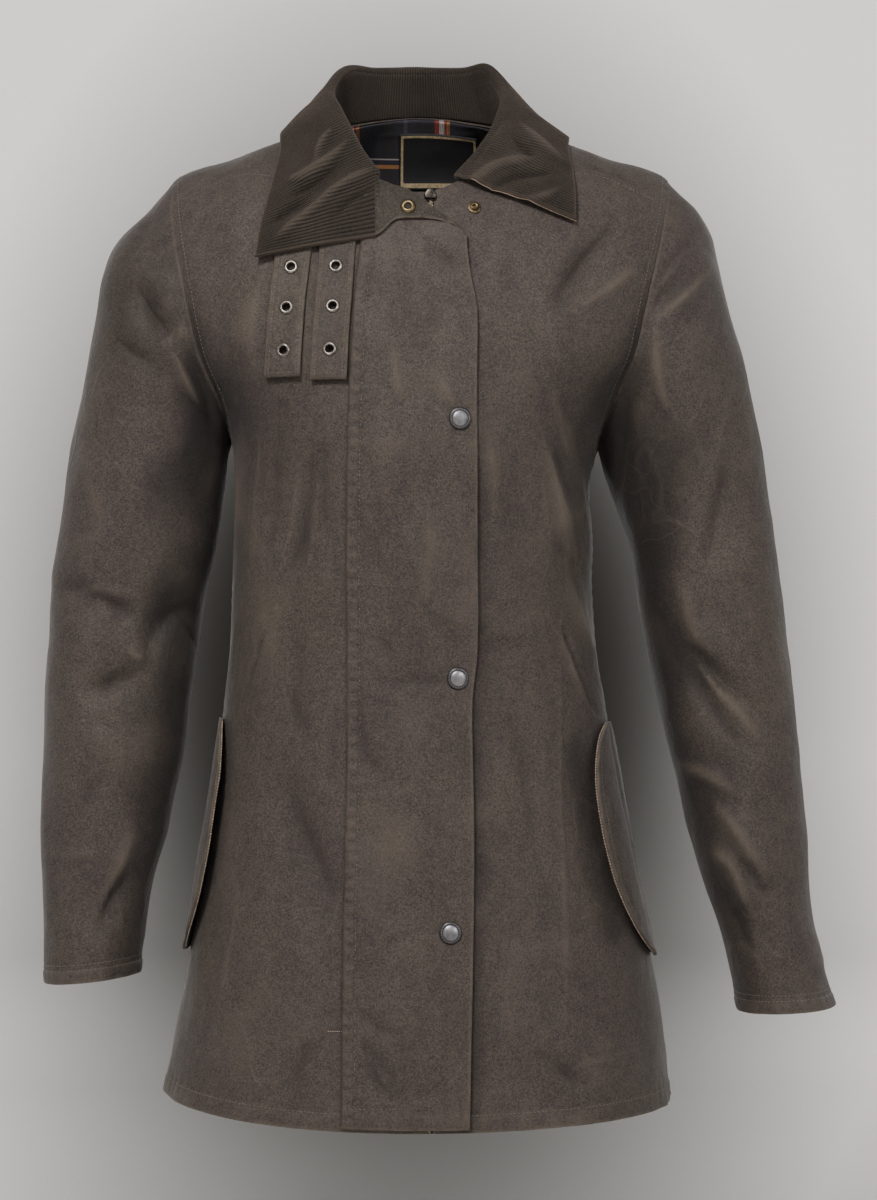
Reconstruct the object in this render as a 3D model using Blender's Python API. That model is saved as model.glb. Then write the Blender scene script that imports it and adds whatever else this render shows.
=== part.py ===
"""Waxed cotton jacket, worn shape, with a corduroy collar.

World frame: +Z up, the front faces -Y, the wearer's left is +X.
Origin: the middle of the neck base, level with the tops of the shoulders, where the wearer holds it up.
The tables are in millimetres and degrees; the meshes are in metres.
"""
import math

import bmesh
import bpy
import numpy as np

MM = 0.001

# ---------------------------------------------------------------- driving sizes
CLOTH = 2.0              # wall of the waxed cotton, as sewn with its lining
CORDUROY = 2.4           # wall of the collar
SEAM = 0.3               # gap left at every seam
SEAM_TURN = 0.1          # half of a long seam's gap, as a turn about the body in degrees
ZIP_X = 10.0             # where the zip stands, left of the middle of the body
ZIP_WIDTH = 4.8
SNAP_RADIUS = 8.5
EYELET_RADIUS = 5.6
EYELET_HOLE = 3.0
STRAP_WIDTH = 27.5
STRAP_THICKNESS = 2.2
STRAP_LIFT = 0.8
FLAP_THICKNESS = 2.6

# ---------------------------------------------------------------- the body, ring by ring
# A ring runs once round the body. Its height and its reach change between front, sides and back.
BODY_RINGS = (
    # name, z_front, z_right, z_left, z_back, x_right, x_left, y_front, y_back, roundness, dip
    ("hem",          -787, -771, -780, -778, -202, 201, -148, 142, 2.40, 2.0),
    ("skirt",        -712, -700, -703, -703, -188, 192, -141, 136, 2.35, 2.0),
    ("hip",          -610, -600, -600, -603, -172, 173, -130, 126, 2.30, 2.0),
    ("pocket",       -518, -510, -510, -512, -159, 156, -122, 112, 2.30, 2.0),
    ("waist",        -437, -430, -430, -430, -151, 144, -117, 103, 2.30, 2.0),
    ("ribs",         -358, -350, -350, -348, -147, 139, -122, 104, 2.30, 2.0),
    ("armpit",       -272, -256, -262, -255, -149, 144, -127, 110, 2.25, 2.0),
    ("arm_low",      -205, -172, -175, -165, -202, 200, -122, 116, 2.20, 2.0),
    ("arm_high",     -158, -100, -100,  -88, -219, 219, -112, 117, 2.15, 2.0),
    ("shoulder",     -125,  -50,  -49,  -36, -195, 199, -104, 107, 2.10, 2.0),
    ("mid_shoulder",  -99,  -29,  -30,   -8, -139, 145,  -97,  93, 2.05, 2.3),
    ("neck",          -68,   -5,   -5,   13,  -77,  78,  -86,  78, 2.00, 1.9),
)
RING_VALUES = np.array([row[1:] for row in BODY_RINGS], float)
RING_NAMES = [row[0] for row in BODY_RINGS]
ARMPIT = RING_NAMES.index("armpit")
SHOULDER = RING_NAMES.index("shoulder")
NECK = RING_NAMES.index("neck")
ARMHOLE_TURN = 35.0      # how far the armhole reaches round the body, either side of the shoulder line
ARMHOLE_STEP = 15        # degrees round the armhole between two points, shared with the sleeves

# ---------------------------------------------------------------- the sleeves, section by section
# Each section spans from the outer to the inner silhouette; depth is half of its front-to-back size.
SLEEVE_RIGHT = (
    # outer_x, outer_z, inner_x, inner_z, depth, y_middle, roundness
    (-195,  -50, -149.0, -256, 68,   0, 2.00),
    (-213,  -70, -150.5, -262, 69,   0, 2.02),
    (-240,  -95, -151.5, -267, 69,   0, 2.05),
    (-251, -122, -152.5, -273, 68,   0, 2.08),
    (-257, -158, -153.5, -280, 67,   0, 2.10),
    (-265, -202, -155.0, -291, 65,   1, 2.10),
    (-275, -250, -157.0, -309, 63,   2, 2.15),
    (-285, -314, -161.0, -345, 61,   2, 2.20),
    (-293, -382, -172.5, -392, 59,   0, 2.20),
    (-296, -442, -180.0, -448, 57,  -4, 2.20),
    (-298, -505, -187.0, -506, 55,  -9, 2.20),
    (-300, -567, -198.0, -562, 53, -14, 2.15),
    (-298, -624, -211.0, -614, 51, -18, 2.10),
    (-296, -666, -218.5, -656, 50, -21, 2.10),
    (-295, -686, -219.5, -678, 50, -22, 2.10),
)
SLEEVE_LEFT = (
    (199,  -49, 144.0, -262, 68,   0, 2.00),
    (215,  -66, 145.5, -268, 69,   0, 2.02),
    (234,  -92, 146.5, -273, 69,   0, 2.05),
    (243, -125, 148.0, -279, 68,   0, 2.08),
    (251, -160, 150.0, -286, 67,   0, 2.10),
    (262, -202, 154.0, -297, 65,   1, 2.10),
    (272, -250, 160.0, -314, 63,   2, 2.15),
    (283, -314, 169.0, -346, 61,   2, 2.20),
    (291, -384, 178.5, -396, 59,   0, 2.20),
    (298, -446, 189.5, -456, 57,  -4, 2.20),
    (304, -510, 203.5, -517, 55,  -9, 2.20),
    (309, -572, 217.0, -573, 53, -14, 2.15),
    (313, -634, 235.5, -632, 51, -18, 2.10),
    (323, -680, 248.5, -680, 50, -21, 2.10),
    (330, -704, 253.0, -708, 50, -22, 2.10),
)
SLEEVE_RINGS = 23
CAP_SECTIONS = 3.0       # sections over which the armhole's own shape dies away down the sleeve

# ---------------------------------------------------------------- the collar, station by station
# neck_turn is where the station starts on the neckline; neck_drop is how far it then runs down the front,
# where the opened neck has rolled outward. lift is how far the edge stands off the cloth below it.
COLLAR_RIGHT = (
    # neck_turn, neck_drop, roll_x, roll_y, roll_z, edge_x, edge_y, edge_z, lift
    (-180,  0,   0,  72,  53.5,    0,  97,   -3, 5.0),
    (-148,  0, -36,  67,  52.5,  -46,  91,   -8, 5.0),
    (-122,  0, -58,  46,  50.0,  -86,  60,  -15, 5.0),
    (-94,   0, -70,  12,  28.0, -101,  15,  -20, 5.0),
    (-69,   0, -61, -26,   6.0, -106, -45,  -42, 6.0),
    (-47,   0, -46, -62, -26.0, -112, -68,  -66, 7.0),
    (-24,   0, -31, -83, -56.5, -120, -86,  -97, 8.5),
    (-24,  26, -31, -92, -80.0, -122.5, -94, -109, 9.0),
    (-24,  48, -31, -99, -104.0, -125, -100, -119.5, 9.0),
)
COLLAR_LEFT = (
    (148,  0,  35,  67,  52.5,   46,  91,   -8, 5.0),
    (122,  0,  56,  46,  51.0,   88,  58,  -12, 5.0),
    (93,   0,  68,   8,  23.0,  114,  14,  -20, 5.0),
    (69,   0,  62, -26,  -3.0,  117, -36,  -34, 5.5),
    (47,   0,  50, -54, -27.0,  120, -58,  -56, 6.0),
    (34,   0,  40, -69, -41.5,  121, -68,  -70, 7.0),
    (23,   0,  30, -82, -56.0,  121.5, -84, -92, 7.5),
)
ROLL_RADIUS = 5.2
ROLL_SHARE = 0.4         # the roll tightens where the stand is low, to this share of its height
LEAST_ROLL = 2.7
ROLL_STEPS = 5
LEAST_STAND = 8.0
OVER_STRAPS = 3.4        # the leaf passes over the straps and the placket at least this far off the body
FALL_SHARES = (0.2, 0.4, 0.6, 0.8, 1.0)
FALL_SWELL = 2.2
OPEN_STEP = 2.0          # between points where the collar has no stand
STAND_KEPT = 12.0        # a stand lower than this begins to tip outward
STAND_GONE = 2.0         # and here it has gone, and the collar lies on the front
COLLAR_STATIONS = 37
NECK_LIFT = 0.8          # the collar stands this far over the coarse facets of the neck edge

# ---------------------------------------------------------------- what lies on the front
# The storm placket: its sewn edge and its free edge at each height.
PLACKET_EDGES = (
    # z, sewn_x, free_x
    (-58,  -41.0, 37.5),
    (-108, -43.5, 38.0),
    (-134, -46.5, 43.0),
    (-160, -49.0, 45.5),
    (-216, -51.8, 45.0),
    (-342, -54.0, 44.5),
    (-426, -53.5, 45.0),
    (-461, -53.4, 41.5),
    (-520, -53.8, 42.0),
    (-610, -56.0, 42.6),
    (-780, -57.2, 39.4),
)
# The opened top corner: where it folds over, and where its turned edge ends.
TURNED_CORNER = (
    # x, fold_z, edge_z
    (-26.4, -60.2, -102.0),
    (-17.2, -64.2, -93.5),
    (-9.2,  -66.3, -92.0),
    (5.2,   -76.5, -92.0),
    (16.0,  -85.0, -93.6),
    (26.5,  -92.6, -95.4),
)
PLACKET_TOP = (
    # x, z
    (-44.0, -63.0),
    (-29.0, -63.5),
    (-17.2, -67.5),
    (-9.2,  -70.0),
    (5.2,   -80.0),
    (16.0,  -88.6),
    (26.5,  -96.4),
    (34.0, -101.0),
    (38.0, -106.0),
)
PLACKET_LIFT = 0.7
PLACKET_STAND_OFF = 1.2  # extra lift at the free edge, over the snaps
CORNER_LIFT = 6.4        # outer face of the turned corner, off the body
CORNER = 1.9
SNAP_HEIGHTS = (-246, -444, -637)
SNAP_X = (32.3, 30.9, 25.4)
SOCKET_PLACE = (-6.9, -83.0)
STUD_PLACE = (44.0, -81.0)
STRAP_LINES = {
    # z, centre_x down the strap
    "strap_outer": ((-99, -94.0), (-121, -95.7), (-147, -98.8), (-182, -101.0), (-213, -101.8)),
    "strap_inner": ((-91, -60.0), (-112, -61.2), (-145, -63.2), (-182, -65.6), (-216, -66.9)),
}
EYELET_HEIGHTS = (-128.5, -160.0, -193.0)

# ---------------------------------------------------------------- pocket flaps
# Down each flap: height, turn of the sewn edge, turn of the free edge, how far the free edge stands off.
FLAP_LEFT = (
    # z, sewn_turn, free_turn, stand_off
    (-481, 80, 70, 2),
    (-490, 83, 60, 6),
    (-510, 86, 54, 9),
    (-545, 89, 51.5, 11),
    (-585, 91, 52, 11),
    (-620, 92, 56, 10),
    (-648, 93, 64, 7),
    (-664, 94, 78, 3),
)
FLAP_RIGHT = (
    (-478, -82, -73, 2),
    (-488, -85, -66, 6),
    (-508, -88, -62, 9),
    (-545, -91, -60.5, 11),
    (-585, -93, -61, 11),
    (-620, -94, -65, 9),
    (-645, -95, -72, 6),
    (-660, -96, -82, 3),
)

# ---------------------------------------------------------------- lining and label
LINING_DEPTH = 3.3       # from the body's outer face to the lining's
LINING = 1.2
LINING_TURN = 38.0       # the lining shows round the neck from this turn to the same on the other side
LABEL_X = (-16.5, 50.0)
LABEL_RISE = (9.1, 10.82)   # in rings, between mid_shoulder and neck
LABEL = 1.0

# ---------------------------------------------------------------- folds
# A fold runs along a bowed line seen from the front or the back, and swells or sinks over its width.
BODY_FOLDS_FRONT = (
    # x0, z0, x1, z1, bow, width, rise
    (105, -215, 134, -318, 5, 13, -4.5),
    (110, -330, 140, -425, 4, 13, -3.5),
    (-84, -260, -104, -400, -6, 17, -4.5),
    (-120, -500, -72, -640, 6, 19, -4.0),
    (112, -158, 166, -98, 6, 15, -4.5),
    (-166, -84, -146, -134, -4, 14, -3.0),
    (56, -735, 118, -790, 4, 18, -3.0),
)
BODY_FOLDS_BACK = (
    (-70, -150, 70, -165, 10, 24, -4.0),
    (-125, -300, -60, -420, 8, 20, -5.0),
    (125, -300, 65, -415, -8, 20, -5.0),
    (-95, -520, -72, -700, 6, 24, -5.0),
    (82, -500, 98, -690, -8, 24, -5.0),
)
SLEEVE_FOLDS_FRONT = (
    (-226, -132, -180, -182, -5, 14, -8.0),
    (-212, -182, -168, -212, 5, 12, 4.5),
    (-292, -370, -218, -392, -5, 14, -7.0),
    (-180, -384, -214, -430, -8, 13, -6.5),
    (-214, -432, -264, -462, 6, 15, -6.5),
    (-230, -590, -260, -645, 5, 16, -4.5),
    (242, -90, 152, -190, -5, 13, -8.0),
    (232, -110, 168, -184, 5, 11, 4.5),
    (252, -285, 232, -360, 7, 15, -6.0),
    (210, -424, 280, -508, 7, 14, -8.0),
    (214, -404, 270, -478, 5, 12, 4.5),
    (238, -540, 278, -610, 6, 13, 5.0),
    (252, -620, 270, -662, 4, 13, -5.0),
)
SLEEVE_FOLDS_BACK = (
    (-285, -330, -200, -372, 8, 16, -7.0),
    (-290, -400, -210, -430, -6, 15, -6.5),
    (-285, -470, -215, -500, 6, 16, -5.0),
    (-235, -120, -175, -200, 6, 17, -6.0),
    (278, -330, 200, -372, -8, 16, -7.0),
    (290, -410, 212, -436, 6, 15, -6.5),
    (295, -480, 225, -512, -6, 16, -5.0),
    (232, -120, 172, -200, -6, 17, -6.0),
)


# ================================================================ small mathematics
def smooth(rows, at):
    """Read a table as one smooth curve through its rows; at counts rows, 0 for the first."""
    rows = np.asarray(rows, float)
    slopes = np.gradient(rows, axis=0)
    at = np.clip(np.asarray(at, float), 0, len(rows) - 1)
    below = np.minimum(at.astype(int), len(rows) - 2)
    t = (at - below)[..., None]
    first = (2 * t**3 - 3 * t**2 + 1) * rows[below] + (t**3 - 2 * t**2 + t) * slopes[below]
    second = (3 * t**2 - 2 * t**3) * rows[below + 1] + (t**3 - t**2) * slopes[below + 1]
    return first + second


def read_along(rows, key):
    """Read the other columns of a table whose first column rises or falls steadily."""
    rows = np.asarray(rows, float)
    rows = rows[np.argsort(rows[:, 0])]
    places = np.interp(key, rows[:, 0], np.arange(len(rows)))
    return np.moveaxis(smooth(rows[:, 1:], places), -1, 0)


def unit(vectors):
    return vectors / np.linalg.norm(vectors, axis=-1, keepdims=True)


def distance_to_path(points, path):
    """Distance of flat points to a path of short straight runs, and how far along it they lie (0 to 1)."""
    start, run = path[:-1], np.diff(path, axis=0)
    away = points[..., None, :] - start
    along = np.clip((away * run).sum(-1) / (run**2).sum(-1), 0, 1)
    gaps = np.linalg.norm(away - along[..., None] * run, axis=-1)
    nearest = gaps.argmin(-1)[..., None]
    share = np.take_along_axis(along, nearest, -1)[..., 0]
    return gaps.min(-1), (nearest[..., 0] + share) / len(run)


def fold_rise(points, folds):
    """How far the folds of a table lift (or sink) the cloth at points, in metres."""
    flat = points[..., [0, 2]] / MM
    rise = np.zeros(flat.shape[:-1])
    steps = np.linspace(0, 1, 9)[:, None]
    for x0, z0, x1, z1, bow, width, height in folds:
        start, end = np.array((x0, z0)), np.array((x1, z1))
        side = unit(np.array((z0 - z1, x1 - x0)))
        path = start + (end - start) * steps + side * bow * 4 * steps * (1 - steps)
        gap, along = distance_to_path(flat, path)
        rise += height * np.exp(-(gap / width)**2) * np.sin(math.pi * along)**0.7
    return rise * MM


def two_sided_folds(points, y_middle, front, back):
    """Front folds act on the front half of a form, back folds on its back half."""
    forward = np.clip((y_middle - points[..., 1]) / (30 * MM), 0, 1)
    rearward = np.clip((points[..., 1] - y_middle) / (30 * MM), 0, 1)
    return fold_rise(points, front) * forward + fold_rise(points, back) * rearward


# ================================================================ the body's surface
def bare_body(turn, ring):
    """A point of the body before its folds. turn: 0 front, 90 the wearer's left, 180 back."""
    (z_front, z_right, z_left, z_back, x_right, x_left,
     y_front, y_back, roundness, dip) = np.moveaxis(smooth(RING_VALUES, ring), -1, 0)
    angle = np.radians(turn)
    across, ahead = np.sin(angle), np.cos(angle)
    reach = (np.abs(across)**roundness + np.abs(ahead)**roundness)**(-1 / roundness)
    x = (x_left + x_right) / 2 + (x_left - x_right) / 2 * reach * across
    y = reach * np.abs(ahead) * np.where(ahead > 0, y_front, y_back)
    z_side = (z_left + z_right) / 2 + (z_left - z_right) / 2 * across
    z = z_side + (np.where(ahead > 0, z_front, z_back) - z_side) * np.abs(ahead)**dip
    return np.stack((x, y, z), -1) * MM


def body(turn, ring, lift=0.0):
    """A point of the body's outer face with its folds, moved out by lift millimetres."""
    turn, ring, lift = np.broadcast_arrays(np.asarray(turn, float), np.asarray(ring, float), lift)
    sideways = bare_body(turn + 0.5, ring) - bare_body(turn - 0.5, ring)
    upward = bare_body(turn, ring + 0.02) - bare_body(turn, ring - 0.02)
    outward = unit(np.cross(sideways, upward))
    place = bare_body(turn, ring)
    folds = two_sided_folds(place, 0.0, BODY_FOLDS_FRONT, BODY_FOLDS_BACK)
    return place + outward * (folds + lift * MM)[..., None]


def find_on_front(x, z):
    """The turn and ring of the front at a place seen from the front, in millimetres."""
    x, z = np.broadcast_arrays(np.asarray(x, float), np.asarray(z, float))
    fronts = RING_VALUES[:, 0]
    ring = np.interp(z, fronts, np.arange(len(fronts)))
    turn = np.degrees(np.arcsin(np.clip(x / 200, -0.9, 0.9)))
    for _ in range(12):
        here = bare_body(turn, ring) / MM
        by_turn = (bare_body(turn + 0.2, ring) - bare_body(turn - 0.2, ring)) / MM / 0.4
        by_ring = (bare_body(turn, ring + 0.02) - bare_body(turn, ring - 0.02)) / MM / 0.04
        miss_x, miss_z = x - here[..., 0], z - here[..., 2]
        area = by_turn[..., 0] * by_ring[..., 2] - by_turn[..., 2] * by_ring[..., 0]
        area = np.where(np.abs(area) < 1e-3, 1e-3, area)
        turn = turn + np.clip((miss_x * by_ring[..., 2] - miss_z * by_ring[..., 0]) / area, -12, 12)
        ring = ring + np.clip((miss_z * by_turn[..., 0] - miss_x * by_turn[..., 2]) / area, -1, 1)
        ring = np.clip(ring, 0.02, NECK - 0.001)
    return turn, ring


def on_front(x, z, lift):
    """A point over the front at (x, z), in millimetres, lift off the cloth."""
    turn, ring = find_on_front(x, z)
    return body(turn, ring, lift)


def kept_clear(points, lift):
    """Move points that lie too near the body out along its normal, to lift millimetres at least."""
    turn = np.degrees(np.arctan2(points[..., 0] / 150, -points[..., 1] / 110))
    ring = np.full(turn.shape, NECK - 1.5)
    for _ in range(14):
        here = body(turn, ring)
        by_turn = (body(turn + 0.5, ring) - body(turn - 0.5, ring)) / MM
        by_ring = (body(turn, ring + 0.02) - body(turn, ring - 0.02)) / MM / 0.04
        miss = (points - here) / MM
        turn = turn + np.clip((miss * by_turn).sum(-1) / (by_turn**2).sum(-1), -10, 10)
        ring = ring + np.clip((miss * by_ring).sum(-1) / (by_ring**2).sum(-1), -0.5, 0.5)
        ring = np.clip(ring, 0.02, NECK - 0.02)
    here = body(turn, ring)
    outward = (body(turn, ring, 1.0) - here) / MM
    height = ((points - here) * outward).sum(-1) / MM
    short = np.maximum(lift - height, 0)
    return points + outward * (short * MM)[..., None]


def armhole(side, around):
    """The armhole's edge. around: 0 under the arm, 90 behind, 180 on the shoulder; side: -1 right, 1 left."""
    around = np.radians(around)
    middle, half = (ARMPIT + SHOULDER) / 2, (SHOULDER - ARMPIT) / 2
    return side * (90 + ARMHOLE_TURN * np.sin(around)), middle - half * np.cos(around)


# ================================================================ meshes
def material(name, colour, roughness, metallic=0.0):
    finish = bpy.data.materials.new(name)
    finish.use_nodes = True
    shader = finish.node_tree.nodes["Principled BSDF"]
    shader.inputs["Base Color"].default_value = (*colour, 1)
    shader.inputs["Roughness"].default_value = roughness
    shader.inputs["Metallic"].default_value = metallic
    finish.diffuse_color = (*colour, 1)
    return finish


def add_object(name, points, faces, finish):
    """One closed mesh object with its faces pointing out."""
    mesh = bpy.data.meshes.new(name)
    mesh.from_pydata([tuple(map(float, point)) for point in points], [], faces)
    shaped = bmesh.new()
    shaped.from_mesh(mesh)
    bmesh.ops.recalc_face_normals(shaped, faces=shaped.faces)
    shaped.to_mesh(mesh)
    shaped.free()
    mesh.shade_smooth()
    mesh.set_sharp_from_angle(angle=math.radians(45))
    mesh.materials.append(finish)
    piece = bpy.data.objects.new(name, mesh)
    bpy.context.scene.collection.objects.link(piece)
    return piece


def wall(name, outer, inner, faces, finish):
    """A closed wall between two matching sheets of points."""
    count = len(outer)
    edges = {(a, b) for face in faces for a, b in zip(face, face[1:] + face[:1])}
    rim = sorted((a, b) for a, b in edges if (b, a) not in edges)
    back = [tuple(point + count for point in reversed(face)) for face in faces]
    sides = [(b, a, a + count, b + count) for a, b in rim]
    return add_object(name, list(outer) + list(inner), faces + back + sides, finish)


def grid_faces(rows, columns, wrap=False):
    faces = []
    for row in range(rows - 1):
        for column in range(columns if wrap else columns - 1):
            after = (column + 1) % columns
            faces.append((row * columns + column, row * columns + after,
                          (row + 1) * columns + after, (row + 1) * columns + column))
    return faces


def grid_wall(name, outer, inner, finish, wrap=False):
    rows, columns = outer.shape[:2]
    return wall(name, outer.reshape(-1, 3), inner.reshape(-1, 3), grid_faces(rows, columns, wrap), finish)


def grid_normals(grid, wrap=False):
    """Normals of a grid of points: across its columns, then along its rows."""
    if wrap:
        across = np.roll(grid, -1, 1) - np.roll(grid, 1, 1)
    else:
        across = np.gradient(grid, axis=1)
    return unit(np.cross(across, np.gradient(grid, axis=0)))


def turned(name, profile, steps, centre, outward, finish, closed=False):
    """A small turned piece: profile gives radius and height in millimetres, from its top to its base."""
    up = unit(np.asarray(outward, float))
    right = unit(np.cross(up, (0.13, 0.0, 1.0)))
    ahead = np.cross(up, right)
    points, rings = [], []
    for radius, height in profile:
        ring = []
        for step in range(steps if radius > 0 else 1):
            angle = 2 * math.pi * step / steps
            spoke = (right * math.cos(angle) + ahead * math.sin(angle)) * radius
            ring.append(len(points))
            points.append(centre + (spoke + up * height) * MM)
        rings.append(ring)
    pairs = list(zip(rings, rings[1:])) + ([(rings[-1], rings[0])] if closed else [])
    faces = []
    for upper, lower in pairs:
        for step in range(steps):
            after = (step + 1) % steps
            corners = [upper[step % len(upper)], upper[after % len(upper)],
                       lower[after % len(lower)], lower[step % len(lower)]]
            faces.append(tuple(dict.fromkeys(corners)))
    return add_object(name, points, faces, finish)


# ================================================================ the cut pieces
def body_rows():
    """Rings of the body's panels, with the armhole's own points between armpit and shoulder."""
    middle, half = (ARMPIT + SHOULDER) / 2, (SHOULDER - ARMPIT) / 2
    around = np.radians(np.arange(ARMHOLE_STEP, 180, ARMHOLE_STEP))
    low = np.linspace(0, ARMPIT, 12)
    arm = middle - half * np.cos(around)
    high = np.linspace(SHOULDER, NECK, 7)
    cut_back = np.concatenate((np.full(len(low), SEAM_TURN), ARMHOLE_TURN * np.sin(around),
                               np.full(len(high), SEAM_TURN)))
    return np.concatenate((low, arm, high)), cut_back


def zip_turn(ring, x):
    """The turn at which the front passes x millimetres from the middle plane."""
    values = smooth(RING_VALUES, ring)
    x_right, x_left = values[..., 4], values[..., 5]
    return np.degrees(np.arcsin((x - (x_left + x_right) / 2) / ((x_left - x_right) / 2)))


def panel(name, first_turn, last_turn, rows, columns, finish):
    share = np.linspace(0, 1, columns)
    turn = first_turn[:, None] + (last_turn - first_turn)[:, None] * share
    ring = np.repeat(rows[:, None], columns, 1)
    return grid_wall(name, body(turn, ring), body(turn, ring, -CLOTH), finish)


def make_body(wax):
    rows, cut_back = body_rows()
    half_zip = ZIP_WIDTH / 2 + SEAM
    panel("front_right", -(90 - cut_back), zip_turn(rows, ZIP_X - half_zip), rows, 11, wax)
    panel("front_left", zip_turn(rows, ZIP_X + half_zip), 90 - cut_back, rows, 11, wax)
    panel("back", 90 + cut_back, 270 - cut_back, rows, 19, wax)


def sleeve_surface(side, sections, at, around):
    """Points of a sleeve: at counts sections down from the armhole, around is in degrees."""
    table = np.asarray(sections, float)

    def section(place):
        outer_x, outer_z, inner_x, inner_z, depth, y_middle, roundness = np.moveaxis(
            smooth(table, place), -1, 0)
        angle = np.radians(around)
        reach = (np.abs(np.cos(angle))**roundness + np.abs(np.sin(angle))**roundness)**(-1 / roundness)
        toward = -np.cos(angle) * reach
        x = (outer_x + inner_x) / 2 + (outer_x - inner_x) / 2 * toward
        z = (outer_z + inner_z) / 2 + (outer_z - inner_z) / 2 * toward
        y = y_middle + depth * np.sin(angle) * reach
        return np.stack((x, y, z), -1) * MM, y_middle * MM

    points, y_middle = section(at)
    turn, ring = armhole(side, around)
    edge = body(turn, ring)
    outward = body(turn, ring, 1.0) - edge
    start, _ = section(np.zeros_like(at))
    onward = unit(section(np.full_like(at, 1.0))[0] - start)
    edge = edge + onward * SEAM * MM + outward * SEAM
    fade = np.clip(1 - at / CAP_SECTIONS, 0, 1)
    fade = fade * fade * (3 - 2 * fade)
    points = points + (edge - start) * fade[..., None]
    folds = two_sided_folds(points, y_middle, SLEEVE_FOLDS_FRONT, SLEEVE_FOLDS_BACK)
    return points, folds * (1 - fade)


def make_sleeve(name, side, sections, wax):
    at = np.linspace(0, len(sections) - 1, SLEEVE_RINGS)
    around = np.arange(0, 360, ARMHOLE_STEP)
    grid_at, grid_around = np.meshgrid(at, around, indexing="ij")
    points, folds = sleeve_surface(side, sections, grid_at, grid_around)
    outer = points + grid_normals(points, wrap=True) * side * folds[..., None]
    inner = outer - grid_normals(outer, wrap=True) * side * CLOTH * MM
    grid_wall(name, outer, inner, wax, wrap=True)


def collar_profile(neck, roll, edge, outward):
    """One station of the collar: the leaf's points and ways out of its visible face, and the stand's.

    The stand goes from the neck straight to the roll; the leaf goes round the roll and straight on to its
    edge. Where the stand has shrunk away the leaf lies on the front, and outward is the way off the cloth.
    """
    stand = np.linalg.norm(neck - roll)
    radius = np.clip(ROLL_SHARE * stand, LEAST_ROLL * MM, ROLL_RADIUS * MM)
    standing = np.clip((stand / MM - STAND_GONE) / (STAND_KEPT - STAND_GONE), 0, 1)
    to_neck, to_edge = (neck - roll) / max(stand, 1e-6), unit(edge - roll)
    up = unit(outward * (1 - standing) - unit(to_neck + to_edge) * standing)
    across = to_edge - to_neck * standing
    out = unit(across - up * (across @ up))
    middle = roll - up * radius

    def touching(point, side):
        """Where a straight line from the point meets the roll's circle, as an angle."""
        a, b = (point - middle) @ out, (point - middle) @ up
        return math.atan2(b, a) + side * math.acos(min(radius / math.hypot(a, b), 1))

    def on_circle(angle):
        return out * math.cos(angle) + up * math.sin(angle)

    start, end = touching(neck, -1) % (2 * math.pi), touching(edge, 1)
    bend = max(start - end, 0.0)
    stand_top = middle + on_circle(start) * radius
    leaf, faces = [], []
    for step in range(ROLL_STEPS + 1):
        place = bend * radius * step / ROLL_STEPS + (1 - standing) * OPEN_STEP * MM * step
        angle = start - min(place / radius, bend)
        onward = out * math.sin(angle) - up * math.cos(angle)
        leaf.append(middle + on_circle(angle) * radius + onward * max(place - bend * radius, 0.0))
        faces.append(on_circle(angle))
    fall_start, face = leaf[-1], faces[-1]
    for share in FALL_SHARES:
        leaf.append(fall_start + (edge - fall_start) * share + face * FALL_SWELL * MM * math.sin(math.pi * share))
        faces.append(face)
    return leaf, faces, (neck, stand_top, on_circle(start))


def collar_stations():
    """The collar, station by station from its right end to its left."""
    table = np.array(COLLAR_RIGHT[::-1] + COLLAR_LEFT, float)
    left = np.arange(len(table)) >= len(COLLAR_RIGHT)
    table[left, 0] -= 360
    leaves, faces, stands = [], [], []
    for neck_turn, neck_drop, rx, ry, rz, ex, ey, ez, lift in smooth(
            table, np.linspace(0, len(table) - 1, COLLAR_STATIONS)):
        neck = body(neck_turn, NECK)
        roll = np.array((rx, ry, rz)) * MM
        outward = unit(body(neck_turn, NECK, 1.0) - neck)
        low = np.clip((STAND_KEPT - np.linalg.norm(neck - roll) / MM) / (STAND_KEPT - STAND_GONE), 0, 1)
        if neck_drop > 0.5:
            place = neck / MM
            neck = on_front(place[0], place[2] - neck_drop, CORDUROY + OVER_STRAPS)
            outward = front_normal(place[0], place[2] - neck_drop) / MM
            roll = neck
        else:
            neck = neck + np.array((0, 0, NECK_LIFT)) * MM
            roll = roll + outward * (CORDUROY + 0.4) * low * MM
        edge = kept_clear(np.array((ex, ey, ez)) * MM, lift)
        leaf, leaf_faces, stand = collar_profile(neck, roll, edge, outward)
        leaves.append(leaf)
        faces.append(leaf_faces)
        stands.append(stand)
    leaves, faces = np.array(leaves), np.array(faces)
    first_fall = leaves.shape[1] - len(FALL_SHARES)
    leaves[:, first_fall:] = kept_clear(leaves[:, first_fall:], CORDUROY + OVER_STRAPS)
    faces[:, first_fall:] = -grid_normals(leaves)[:, first_fall:]
    return leaves, faces, stands


def make_collar(corduroy):
    leaves, faces, stands = collar_stations()
    grid_wall("collar", leaves, leaves - faces * CORDUROY * MM, corduroy)
    inner, outer = [], []
    for neck, top, face in stands:
        height = np.linalg.norm(top - neck)
        if height < LEAST_STAND * MM:
            continue
        shares = np.array((0.0, 0.5, 1 - 2.5 * SEAM * MM / height))[:, None]
        line = neck + (top - neck) * shares
        inner.append(line)
        outer.append(line - face * CORDUROY * MM)
    grid_wall("collar_stand", np.array(inner), np.array(outer), corduroy)


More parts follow.
